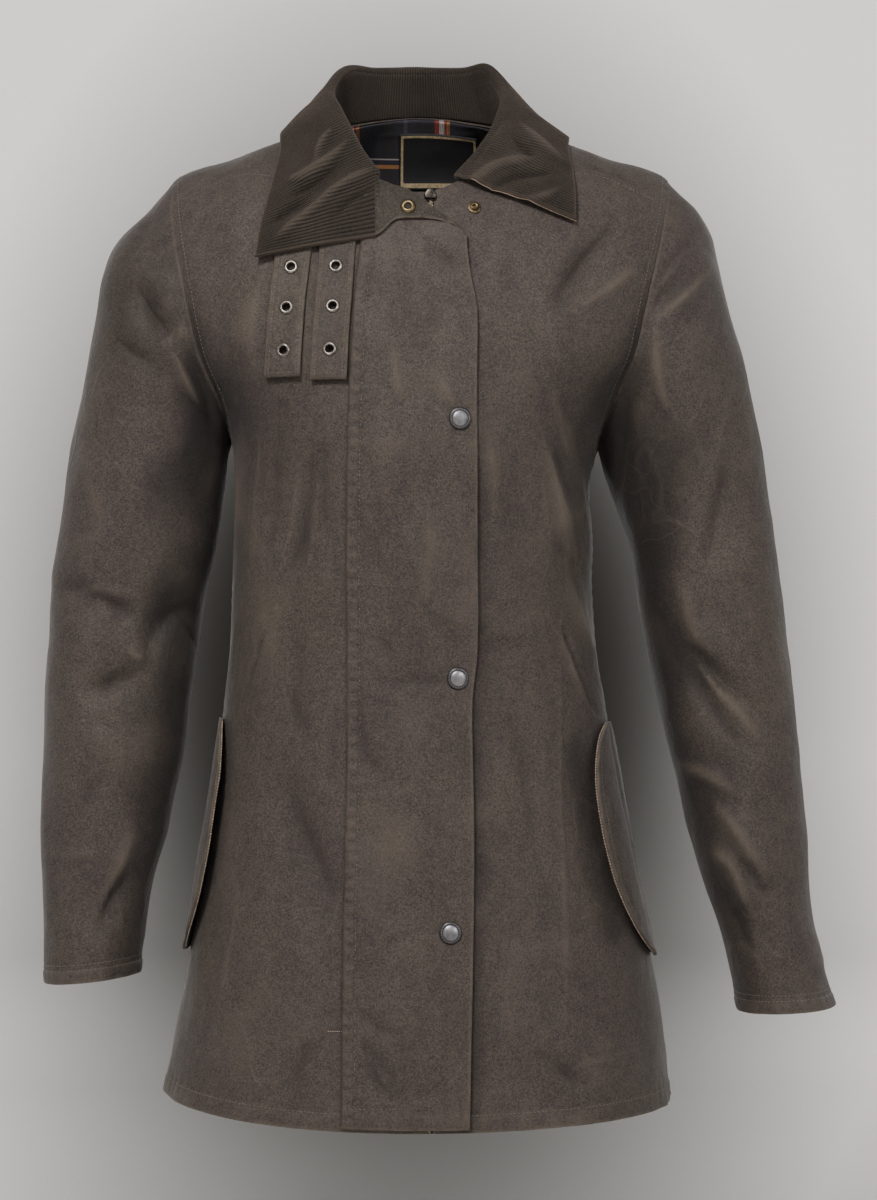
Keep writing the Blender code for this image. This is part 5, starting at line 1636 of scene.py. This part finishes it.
dents = 0.35 * pucker(x, 14.0) * bump(z - edge_z, 6.0) - 0.5 * bump(x - 23, 2.5)
dents = dents - 0.3 * bump(z - edge_z - CORNER_STITCHES, 1.0) + 0.5 * bump(x + 10, 9) * bump(down - 0.4, 0.4)
edge = np.maximum(bump(z - edge_z, 1.6), 0.6 * bump(z - fold_z, 2.0))
corner = shell("turned_corner", on_front(x, z, lift + dents * step_up(down, 0.0, 0.2), False),
               on_front(x, z, lift - CORNER, False), (FACING, WAX), edge=edge, relief=dents)
sew_in(corner, ("turned_corner",))
stitch_x = np.linspace(-20, 22, 40)
fold_z, edge_z = read_along(TURNED_CORNER, stitch_x)
stitch_z = edge_z + CORNER_STITCHES * (edge_z < fold_z - STITCHED_DEPTH)
corner_line = (on_front(stitch_x, stitch_z, CORNER_LIFT, False),
               front_normal(stitch_x, edge_z + CORNER_STITCHES))
sew("corner_stitches", [corner_line], THREAD, 2.8, 2.2, 0.5)

# %% [markdown]
# ## Throat straps
#
# Two short tabs hang from under the collar, each with three eyelets. Each third of a tab is a square
# frame of points joined to a round hole by rings of faces, so the hole is really open and the cloth
# behind shows through.

# %% Straps with real holes
STRAP_WIDTH, STRAP_THICKNESS, STRAP_LIFT = 27.5, 2.2, 0.8
EYELET_RADIUS, EYELET_HOLE, CUT_RADIUS, STRAP_STITCHES = 5.6, 3.0, 3.9, 3.4
EYELET_HEIGHTS = (-128.5, -160.0, -193.0)
STRAP_LINES = {
    # z, centre_x down the strap
    "strap_outer": ((-99, -94.0), (-121, -95.7), (-147, -98.8), (-182, -101.0), (-213, -101.8)),
    "strap_inner": ((-91, -60.0), (-112, -61.2), (-145, -63.2), (-182, -65.6), (-216, -66.9)),
}
FRAME_STEPS, FRAME_RINGS = 64, 11


def strap_points(line):
    """The strap's places seen from the front, and its faces, cell by cell from the top."""
    heights = [line[0][0]]
    heights += [(a + b) / 2 for a, b in zip(EYELET_HEIGHTS, EYELET_HEIGHTS[1:])]
    heights += [line[-1][0]]
    points, faces, index = [], [], {}

    def point(x, z):
        key = (round(x, 3), round(z, 3))
        if key not in index:
            index[key] = len(points)
            points.append(key)
        return index[key]

    corners = ((-1, 1), (1, 1), (1, -1), (-1, -1))
    side = FRAME_STEPS // 4
    for top, bottom, middle in zip(heights, heights[1:], EYELET_HEIGHTS):
        centre = float(read_along(line, middle)[0])
        rings = []
        for number in range(FRAME_RINGS):
            share = 1 - (1 - number / (FRAME_RINGS - 1))**1.4
            ring = []
            for step in range(FRAME_STEPS):
                edge, along = divmod(step, side)
                a, b = corners[edge], corners[(edge + 1) % 4]
                across = (a[0] + (b[0] - a[0]) * along / side) / 2
                height = (a[1] + (b[1] - a[1]) * along / side + 1) / 2
                z = bottom + (top - bottom) * height
                x = float(read_along(line, z)[0]) + across * STRAP_WIDTH
                angle = math.radians(135 - 360 * step / FRAME_STEPS)
                hole_x, hole_z = centre + CUT_RADIUS * math.cos(angle), middle + CUT_RADIUS * math.sin(angle)
                ring.append(point(x + (hole_x - x) * share, z + (hole_z - z) * share))
            rings.append(ring)
        for outside, inside in zip(rings, rings[1:]):
            for step in range(FRAME_STEPS):
                after = (step + 1) % FRAME_STEPS
                faces.append((outside[step], outside[after], inside[after], inside[step]))
    return np.array(points), faces


def strap_curl(z):
    """How much further off the cloth a strap hangs lower down, in millimetres."""
    return 1.6 * step_up(-z, 112, 165) + 1.0 * step_up(-z, 185, 216)


def strap(name, line):
    flat, faces = strap_points(line)
    x, z = flat[:, 0], flat[:, 1]
    centre = read_along(line, z)[0]
    from_side = STRAP_WIDTH / 2 - np.abs(x - centre)
    from_end = np.minimum(z - line[-1][0], 40.0)
    inward = np.clip(np.minimum(from_side, from_end), 0, None)
    curl = strap_curl(z)
    detail = 0.3 * bump(inward - 6.0, 3.0) - 0.5 * bump(inward, 0.9)
    detail -= 0.35 * bump(inward - STRAP_STITCHES, 0.9)
    detail += 0.25 * pucker(z, 8.0) * bump(inward - 2, 2.5)
    for middle in EYELET_HEIGHTS:
        away = np.hypot(x - float(read_along(line, middle)[0]), z - middle)
        detail -= 0.45 * bump(away - EYELET_RADIUS, 2.0)
    top = on_front(x, z, STRAP_LIFT + STRAP_THICKNESS + curl + detail)
    bottom = on_front(x, z, STRAP_LIFT + curl)
    piece = closed_wall(name, top, bottom, faces, (WAX,))
    edge = np.maximum(bump(inward, 1.8), 0.35 * bump(inward - STRAP_STITCHES, 1.2))
    mark(piece, "edge", np.concatenate((edge, edge)))
    mark(piece, "relief", np.concatenate((detail, detail * 0)))
    sew_in(piece, (name,))
    return strap_seam(line)


def strap_seam(line):
    """The line of stitches down one side of a strap, across its end and up the other side."""
    inset = STRAP_WIDTH / 2 - STRAP_STITCHES
    low = line[-1][0] + STRAP_STITCHES
    z_run = np.linspace(line[0][0], low, 50)
    centre = read_along(line, z_run)[0]
    across = np.linspace(-inset, inset, 16)[1:-1]
    path_x = np.concatenate((centre - inset, centre[-1] + across, (centre + inset)[::-1]))
    path_z = np.concatenate((z_run, np.full(len(across), low), z_run[::-1]))
    rise = STRAP_LIFT + STRAP_THICKNESS + strap_curl(path_z) - 0.1
    return on_front(path_x, path_z, rise), front_normal(path_x, path_z)


strap_seams = [strap(name, line) for name, line in STRAP_LINES.items()]
sew("strap_stitches", strap_seams, THREAD, 2.8, 2.2, 0.5)

# %% [markdown]
# ## Metal fittings
#
# Eyelets, snap caps and rings are turned shapes. One of each kind is turned from a profile and placed at
# its points by Geometry Nodes, which point its axis off the cloth.

# %% Turned fittings


def turned_mesh(name, profile, steps, closed, dark):
    """A mesh turned about +Z from radius and height pairs in millimetres, dark between two radii."""
    points, rings = [], []
    for radius, height in profile:
        ring = []
        for step in range(steps if radius > 0 else 1):
            angle = 2 * math.pi * step / steps
            ring.append(len(points))
            points.append((radius * math.cos(angle) * MM, radius * math.sin(angle) * MM, height * MM))
        rings.append(ring)
    faces = []
    for upper, lower in list(zip(rings, rings[1:])) + ([(rings[-1], rings[0])] if closed else []):
        for step in range(steps):
            after = (step + 1) % steps
            corners = (upper[step % len(upper)], upper[after % len(upper)],
                       lower[after % len(lower)], lower[step % len(lower)])
            faces.append(tuple(dict.fromkeys(corners)))
    piece = add_mesh(name, points, faces, (NICKEL,))
    radii = np.hypot(*np.array(points)[:, :2].T) / MM
    mark(piece, "shade", 0.75 * ((radii > dark[0] - 0.01) & (radii < dark[1])))
    piece.data.set_sharp_from_angle(angle=math.radians(50))
    return piece


def fitting_tree():
    tree, given, result = new_tree("fittings_on_cloth", (
        ("Fitting", "Object", None), ("Metal", "Material", None)))
    shape = put(tree, "GeometryNodeObjectInfo", {"Object": given.outputs["Fitting"]})
    points = put(tree, "GeometryNodeMeshToPoints", {"Mesh": given.outputs["Geometry"]})
    up = carried(tree, "up", "FLOAT_VECTOR")
    turn = put(tree, "FunctionNodeAlignRotationToVector", {"Vector": up}, axis="Z")
    placed = put(tree, "GeometryNodeInstanceOnPoints", {
        "Points": points.outputs[0], "Instance": shape.outputs["Geometry"], "Rotation": turn.outputs[0]})
    return hand_over(tree, placed.outputs[0], given.outputs["Metal"], result)


FITTINGS = fitting_tree()
BEADS, BEAD_RING, BEAD_HEIGHT, BEAD_RADIUS = 22, 7.1, 1.8, 0.36


def place_fittings(name, profile, steps, places, ups, metal, nodes, closed=False, dark=(0.0, 0.0),
                   extra=None):
    model = turned_mesh(name + "_model", profile, steps, closed, dark)
    if extra is not None:
        extra(model)
    piece = run_tree(guide(name, places, ups), FITTINGS, {"Fitting": model, "Metal": metal}, metal)
    bpy.data.objects.remove(model)
    print(name, "at", len(places), "places")
    return sew_in(piece, nodes)


def add_beads(model):
    """A ring of small round dots pressed into a cap's rim."""
    shaped = bmesh.new()
    shaped.from_mesh(model.data)
    for step in range(BEADS):
        angle = 2 * math.pi * step / BEADS
        made = bmesh.ops.create_icosphere(shaped, subdivisions=1, radius=BEAD_RADIUS * MM)
        centre = Vector((BEAD_RING * math.cos(angle), BEAD_RING * math.sin(angle), BEAD_HEIGHT)) * MM
        bmesh.ops.translate(shaped, verts=made["verts"], vec=centre)
    shaped.to_mesh(model.data)
    shaped.free()
    model.data.shade_smooth()


EYELET = ((EYELET_HOLE, -STRAP_THICKNESS + 0.1), (EYELET_HOLE, 0.6), (EYELET_HOLE + 0.25, 1.0),
          (EYELET_HOLE + 0.8, 1.3), (EYELET_HOLE + 1.4, 1.25), (EYELET_RADIUS - 0.5, 0.85),
          (EYELET_RADIUS - 0.1, 0.35), (EYELET_RADIUS, -0.3), (EYELET_RADIUS - 1.8, -0.3),
          (EYELET_RADIUS - 1.8, -STRAP_THICKNESS + 0.1))
for strap_name, line in STRAP_LINES.items():
    places, ups = [], []
    for height in EYELET_HEIGHTS:
        x = float(read_along(line, height)[0])
        rise = float(strap_curl(np.array(height)))
        places.append(on_front(x, height, STRAP_LIFT + STRAP_THICKNESS + rise - 0.15))
        ups.append(front_normal(x, height))
    names = [f"{strap_name}_eyelet_{number}" for number in (1, 2, 3)]
    place_fittings(strap_name + "_eyelets", EYELET, 40, places, ups, NICKEL, names, closed=True)

SNAP_CAP = ((0, 3.3), (1.2, 3.27), (2.4, 3.17), (3.6, 3.0), (4.7, 2.74), (5.6, 2.4), (6.1, 2.1), (6.3, 1.8),
            (6.7, 1.8), (7.3, 1.85), (7.9, 1.65), (8.3, 1.2), (8.5, 0.6), (8.3, -0.4), (0, -0.4))
places, ups = [], []
for x, height in zip(SNAP_X, SNAP_HEIGHTS):
    sewn_x, free_x = read_along(PLACKET_EDGES, height)
    share = (x - sewn_x) / (free_x - sewn_x)
    places.append(on_front(x, height, PLACKET_LIFT + PLACKET_STAND_OFF * share + CLOTH + 0.05))
    ups.append(front_normal(x, height))
place_fittings("snap_caps", SNAP_CAP, 56, places, ups, GUNMETAL, ("snap_cap_1", "snap_cap_2", "snap_cap_3"),
               dark=(6.0, 8.6), extra=add_beads)

SOCKET_PLACE, STUD_PLACE = (-6.9, -83.0), (44.0, -81.0)
SOCKET = ((0, 0.15), (2.25, 0.15), (2.3, 1.1), (2.7, 1.55), (3.6, 1.8), (4.6, 1.55), (5.4, 1.1),
          (5.9, 0.5), (6.0, -0.2))
STUD = ((0, 1.3), (1.3, 1.3), (1.6, 2.9), (2.2, 3.2), (2.8, 3.0), (2.9, 2.0), (2.6, 1.3), (3.2, 1.0),
        (4.4, 1.25), (5.1, 0.8), (5.2, -0.2), (0, -0.2))
# The socket's floor and the stud's undercut are darkened as painted shade.
place_fittings("neck_snap_socket_ring", SOCKET, 48, [on_front(*SOCKET_PLACE, CORNER_LIFT, False)],
               [front_normal(*SOCKET_PLACE)], BRASS, ("neck_snap_socket",), dark=(0.0, 2.4))
place_fittings("neck_snap_stud_post", STUD, 48, [on_front(*STUD_PLACE, 0.2)], [front_normal(*STUD_PLACE)],
               BRASS, ("neck_snap_stud",), dark=(2.5, 3.3))

# %% [markdown]
# ## The zip
#
# Two rows of teeth mesh on a woven tape, three millimetres apart. The placket hides nearly all of it, but
# the top shows at the open neck. A tree places one small tooth along the zip's line, on alternate sides.

# %% Zip teeth and tape
TOOTH_PITCH, TOOTH_SHIFT = 1.5, 1.4
TOOTH_SIZE = (2.9 * MM, 1.15 * MM, 1.5 * MM)


def zip_tree():
    tree, given, result = new_tree("zip_teeth_row", (
        ("Pitch", "Float", TOOTH_PITCH * MM), ("Tooth", "Vector", TOOTH_SIZE), ("Metal", "Material", None)))
    even = even_line(tree, given)
    up = carried(tree, "up", "FLOAT_VECTOR")
    along = put(tree, "GeometryNodeInputTangent")
    aside = put(tree, "ShaderNodeVectorMath", {0: along.outputs[0], 1: up},
                operation="CROSS_PRODUCT").outputs[0]
    number = put(tree, "GeometryNodeInputIndex")
    odd = sum_of(tree, "MODULO", number.outputs[0], 2.0)
    side = put(tree, "ShaderNodeMath", {0: odd, 1: TOOTH_SHIFT * MM, 2: -TOOTH_SHIFT / 2 * MM},
               operation="MULTIPLY_ADD")
    shift = put(tree, "ShaderNodeVectorMath", {0: aside, "Scale": side.outputs[0]}, operation="SCALE")
    moved = put(tree, "GeometryNodeSetPosition", {"Geometry": even, "Offset": shift.outputs[0]})
    tooth = put(tree, "GeometryNodeMeshCube", {"Size": given.outputs["Tooth"]})
    placed = put(tree, "GeometryNodeInstanceOnPoints", {
        "Points": moved.outputs[0], "Instance": tooth.outputs["Mesh"],
        "Rotation": laid_on(tree, aside, up)})
    return hand_over(tree, placed.outputs[0], given.outputs["Metal"], result)


TEETH_DEPTH, TAPE_DEPTH, TAPE_THICKNESS = 0.9, 1.5, 0.8
zip_rings = np.linspace(0.02, NECK - 0.28, 260)
zip_points, zip_ups = body_line(zip_turn(zip_rings, ZIP_X), zip_rings, -TEETH_DEPTH)
zip_chain = [(i, i + 1) for i in range(len(zip_points) - 1)]
teeth = run_tree(guide("zip_teeth", zip_points, zip_ups, zip_chain), zip_tree(),
                 {"Pitch": TOOTH_PITCH * MM, "Metal": ZIP_METAL}, ZIP_METAL)
teeth.data.shade_flat()
sew_in(teeth, ("zip_chain",))
tape_rings = np.linspace(0.0, NECK - 0.25, 200)[:, None]
tape_x = ZIP_X + np.linspace(-ZIP_WIDTH / 2, ZIP_WIDTH / 2, 5)
tape_turns = np.stack([zip_turn(tape_rings[:, 0], x) for x in tape_x], 1)
tape_grid = np.broadcast_to(tape_rings, tape_turns.shape)
tape = shell("zip_tape", body(tape_turns, tape_grid, -TAPE_DEPTH),
             body(tape_turns, tape_grid, -TAPE_DEPTH - TAPE_THICKNESS), (FACING, FACING), rim=0.0)
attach(tape, "root")
print("zip teeth:", count_triangles(teeth), "triangles")

# %% Zip slider
SLIDER = ((-4.2, -75.0), (4.2, -75.0), (5.0, -71.0), (2.6, -67.8), (0.0, -66.6), (-2.6, -67.8), (-5.0, -71.0))
SLIDER_Z, SLIDER_THICKNESS = -72.0, 2.6
slider_turn, slider_ring = find_on_front(ZIP_X, SLIDER_Z)
seat = body(slider_turn, slider_ring, SEAM)
way_out = way_off(slider_turn, slider_ring)
under = [seat + np.array((x, 0, z - SLIDER_Z)) * MM for x, z in SLIDER]
under = [point + way_out * max(0.0, -((point - seat) @ way_out)) for point in under]
over = [point + way_out * SLIDER_THICKNESS * MM for point in under]
count = len(SLIDER)
faces = [tuple(range(count)), tuple(range(2 * count - 1, count - 1, -1))]
faces += [(i, i + count, (i + 1) % count + count, (i + 1) % count) for i in range(count)]
slider = add_mesh("zip_slider_body", under + over, faces, (NICKEL,))
softened = slider.modifiers.new("softened", "BEVEL")
softened.width = 0.7 * MM
softened.segments = 3
applied(slider)
# The whole slider is darkened through the shade measure.
mark(slider, "shade", np.full(len(slider.data.vertices), 0.9))
sew_in(slider, ("zip_slider",))
print("slider:", count_triangles(slider), "triangles")

# %% [markdown]
# ## Pocket flaps
#
# Each flap is sewn down behind the side seam and stands off the skirt in front, with a rounded free edge.
# A narrow strip of the lining shows along that edge.

# %% Flaps
FLAP_THICKNESS, FLAP_LIFT, FLAP_STITCHES = 2.6, 0.5, 6.0
FLAP_ROWS, FLAP_COLUMNS, FLAP_WIDTH = 84, 34, 62
FLAP_LEFT = (
    # z, sewn_turn, free_turn, stand_off
    (-481, 80, 70, 2),
    (-490, 83, 60, 6),
    (-510, 86, 54, 9),
    (-545, 89, 51.5, 11),
    (-585, 91, 52, 11),
    (-620, 92, 56, 10),
    (-648, 93, 64, 7),
    (-664, 94, 78, 3),
)
FLAP_RIGHT = (
    (-478, -82, -73, 2),
    (-488, -85, -66, 6),
    (-508, -88, -62, 9),
    (-545, -91, -60.5, 11),
    (-585, -93, -61, 11),
    (-620, -94, -65, 9),
    (-645, -95, -72, 6),
    (-660, -96, -82, 3),
)


def flap(name, table):
    table = np.asarray(table, float)
    down = np.linspace(0, len(table) - 1, FLAP_ROWS)
    z, sewn, free, stand_off = np.moveaxis(smooth(table, down), -1, 0)
    share = closer_at_ends(FLAP_COLUMNS, FLAP_WIDTH)
    turn = sewn[:, None] + (free - sewn)[:, None] * share
    side_z = RING_VALUES[:, 1] if sewn[0] < 0 else RING_VALUES[:, 2]
    ring = np.repeat(np.interp(z, side_z, np.arange(len(side_z)))[:, None], len(share), 1)
    lift = FLAP_LIFT + stand_off[:, None] * share**1.6
    width = run_along(bare_body(turn, ring), 1)[:, -1:] / MM
    from_free = width * (1 - share)
    along = np.broadcast_to(z[:, None], turn.shape)
    detail = 0.35 * bump(from_free - 2.5, 2.5) - 0.4 * bump(from_free - FLAP_STITCHES, 1.1)
    detail += 0.35 * pucker(along, 17.0, 1.5) * bump(from_free, 9.0)
    detail -= 1.1 * bump(share - 0.5 - 0.12 * (down[:, None] / 7 - 0.5), 0.07) * step_up(width, 12, 30)
    outer = body(turn, ring, lift + FLAP_THICKNESS + detail)
    inner = body(turn, ring, lift)
    edge = np.maximum(bump(from_free, 2.0), 0.3 * bump(from_free - FLAP_STITCHES, 1.4))
    piece = shell(name, outer, inner, (WAX, CHECK), edge=edge, relief=detail)
    seam = 1 - FLAP_STITCHES / np.maximum(width[:, 0], 9.0)
    seam_turn = sewn + (free - sewn) * seam
    seam_lift = FLAP_LIFT + stand_off * seam**1.6 + FLAP_THICKNESS - 0.1
    rim_turn = sewn + (free - sewn) * 1.004
    rim_lift = FLAP_LIFT + stand_off + 0.4
    stitches = body_line(seam_turn[6:-6], ring[6:-6, 0], seam_lift[6:-6])
    binding = body_line(rim_turn[3:-3], ring[3:-3, 0], rim_lift[3:-3])
    return piece, stitches, binding


flap_right, right_seam, right_binding = flap("pocket_flap_right", FLAP_RIGHT)
flap_left, left_seam, left_binding = flap("pocket_flap_left", FLAP_LEFT)
sew_in(flap_right, ("pocket_flap_right",))
sew_in(flap_left, ("pocket_flap_left",))
sew("flap_stitches", [right_seam, left_seam])
sew("flap_binding", [right_binding, left_binding], PALE_THREAD, 2.3, 2.1, 1.0)

# %% [markdown]
# ## Lining and label
#
# Only the top of the lining shows, inside the neck. The label has a plain woven border.

# %% Lining
LINING_DEPTH, LINING, LINING_TURN = 3.3, 1.2, 38.0
LINING_COLUMNS, LINING_ROWS, LINING_SEAM_Z = 120, 38, 2.0
turn = np.linspace(LINING_TURN, 360 - LINING_TURN, LINING_COLUMNS)
share = np.linspace(0, 1, LINING_ROWS)[:, None]
foot = 8.0 + 1.45 * np.sin(np.radians(turn))**2
ring = foot + (NECK - 0.01 - foot) * share
grid_turn = np.broadcast_to(turn, ring.shape)
place = body(grid_turn, ring, 0.0, False)
uneven = (ripple(place, 21, 0.5) + ripple(place, 9, 0.2)) / MM
uneven -= 0.5 * bump(np.abs(place[..., 2] / MM - LINING_SEAM_Z), 1.2) * (place[..., 1] > 0)
lift = np.minimum(uneven, 0.2) - LINING_DEPTH
lining = shell("neck_lining", body(grid_turn, ring, lift, False), body(grid_turn, ring, lift - LINING, False),
               (CHECK, CHECK), rim=0.0)
sew_in(lining, ("neck_lining",))
print("lining:", count_triangles(lining), "triangles")

# %% Label
LABEL_X, LABEL_RISE, LABEL_THICKNESS = (-16.5, 50.0), (8.85, 10.55), 1.0
LABEL_HEIGHT, LABEL_GAP = 37.0, 0.9
across, rise = np.linspace(0, 1, 61), np.linspace(0, 1, 35)[:, None]
ring = LABEL_RISE[0] + (LABEL_RISE[1] - LABEL_RISE[0]) * rise
turn = 180 - zip_turn(ring, LABEL_X[0] + (LABEL_X[1] - LABEL_X[0]) * across)
ring = np.broadcast_to(ring, turn.shape)
from_side = np.minimum(across, 1 - across) * (LABEL_X[1] - LABEL_X[0])
from_edge = np.minimum(from_side, np.minimum(rise, 1 - rise) * LABEL_HEIGHT)
under = -LINING_DEPTH - LINING - LABEL_GAP
puff = 0.15 * bump(from_edge - 2.3, 1.0) + 0.25 * np.sin(3.0 * across * math.pi) * np.sin(2 * rise * math.pi)
label = shell("neck_label", body(turn, ring, under + 0.1, False),
              body(turn, ring, under - LABEL_THICKNESS - puff, False), (LABEL, LABEL), rim=0.0)
mark(label, "from_edge", np.concatenate((from_edge.ravel(), from_edge.ravel())))
sew_in(label, ("neck_label",))
print("label:", count_triangles(label), "triangles")

# %% [markdown]
# ## Stage, light and camera
#
# The jacket hangs in still air over a pale floor that curves up all round into a wall, so every view has
# the same ground. The paper carries painted shade: a soft dark patch where the jacket's own shade would
# lie behind it, seen from the front, and a darker floor low in that view. A small key light from high on
# the left draws the creases, and a larger one from the right fills them. Two weak lights behind keep the
# back from going black.

# %% Stage
FLOOR_Z, FLOOR_RADIUS, WALL_RADIUS, WALL_TOP = -1.02, 3.3, 4.7, 3.4
VIEW_DISTANCE, VIEW_HEIGHT = 2.6, -0.384


def stage_surface():
    bend = WALL_RADIUS - FLOOR_RADIUS
    profile = [(radius, FLOOR_Z) for radius in np.linspace(0.001, FLOOR_RADIUS, 6)]
    profile += [(FLOOR_RADIUS + bend * math.sin(a), FLOOR_Z + bend * (1 - math.cos(a)))
                for a in np.linspace(0.1, math.pi / 2, 14)]
    profile += [(WALL_RADIUS, z) for z in np.linspace(FLOOR_Z + bend + 0.2, WALL_TOP, 5)]
    steps = 96
    points = [(radius * math.cos(2 * math.pi * s / steps), radius * math.sin(2 * math.pi * s / steps), z)
              for radius, z in profile for s in range(steps)]
    faces = grid_faces(len(profile), steps, True)
    return add_mesh("floor_and_wall", points, faces, (stage_finish(),))


def stage_finish():
    """Pale paper with a soft dark patch, painted where the jacket's own shade would lie behind it."""
    finish, tree, shader, place = new_finish("studio_paper")
    parts = put(tree, "ShaderNodeSeparateXYZ", {0: place})
    away = sum_of(tree, "MAXIMUM", sum_of(tree, "ADD", parts.outputs["Y"], VIEW_DISTANCE), 0.6)
    across = sum_of(tree, "DIVIDE", parts.outputs["X"], away)
    height = sum_of(tree, "DIVIDE", sum_of(tree, "SUBTRACT", parts.outputs["Z"], VIEW_HEIGHT), away)
    seen = put(tree, "ShaderNodeCombineXYZ", {0: across, 1: height})
    patch = put(tree, "ShaderNodeMapping", {"Vector": seen.outputs[0], "Location": (0.1, 0.32, 0.0),
                                            "Scale": (16.0, 10.5, 1.0)})
    far = put(tree, "ShaderNodeVectorMath", {0: patch.outputs[0]}, operation="LENGTH").outputs["Value"]
    paleness = sum_of(tree, "POWER", spread(tree, far, 0.9, 2.6), 1.7)
    # Painted shade: darker low in the front view, where it looks down onto the floor; the half of the stage
    # in front of the jacket stays pale.
    painted_floor_shade = spread(tree, height, -0.15, -0.05, 0.43, 0.93)
    nearer = spread(tree, parts.outputs["Y"], 0.5, -0.8, 0.0, 0.85)
    level = sum_of(tree, "MAXIMUM", times(tree, paleness, painted_floor_shade), nearer)
    colour = blend(tree, level, (0.020, 0.0185, 0.017), (0.86, 0.852, 0.84))
    give(tree, shader, {"Base Color": colour, "Specular IOR Level": 0.0, "Roughness": 0.95})
    return finish


stage = stage_surface()
print("stage:", count_triangles(stage), "triangles")

# %% Lights and world


def soft_light(name, place, aim, power, size, colour=(1.0, 0.985, 0.96)):
    light = bpy.data.lights.new(name, "AREA")
    light.energy = power
    light.shape = "DISK"
    light.size = size
    light.color = colour
    lamp = add_piece(name, light)
    lamp.location = place
    lamp.rotation_euler = (Vector(aim) - Vector(place)).to_track_quat("-Z", "Y").to_euler()
    return lamp


MIDDLE = (0.0, 0.0, -0.35)
soft_light("key", (-0.75, -2.4, 1.75), (0.0, 0.0, -0.15), 74.0, 0.6)
soft_light("second", (1.5, -2.5, 0.7), MIDDLE, 19.0, 1.3, (0.97, 0.985, 1.0))
soft_light("rear_left", (-0.9, 2.6, 0.9), MIDDLE, 6.0, 1.2)
soft_light("rear_right", (0.9, 2.6, 0.7), MIDDLE, 5.0, 1.2)
for side in (-1, 1):
    lamp = soft_light("on_the_wall", (side * 1.1, 0.7, 1.3), (side * 1.3, 4.4, -0.5), 95.0, 1.0)
    lamp.visible_camera = False
world = bpy.data.worlds.new("studio")
world.use_nodes = True
world.node_tree.nodes["Background"].inputs[0].default_value = (0.96, 0.98, 1.0, 1)
world.node_tree.nodes["Background"].inputs[1].default_value = 0.3
bpy.context.scene.world = world
print("lights:", len(bpy.data.lights))

# %% Camera
CAMERA_PLACE = (0.0164, -VIEW_DISTANCE, VIEW_HEIGHT)
camera_data = bpy.data.cameras.new("camera")
camera_data.lens = 97.5
camera_data.sensor_fit = "VERTICAL"
camera_data.sensor_width = 36
camera_data.sensor_height = 36
camera = add_piece("camera", camera_data)
camera.location = CAMERA_PLACE
camera.rotation_euler = (math.pi / 2, 0, 0)
bpy.context.scene.camera = camera
print("camera:", camera_data.lens, "mm lens at", CAMERA_PLACE)
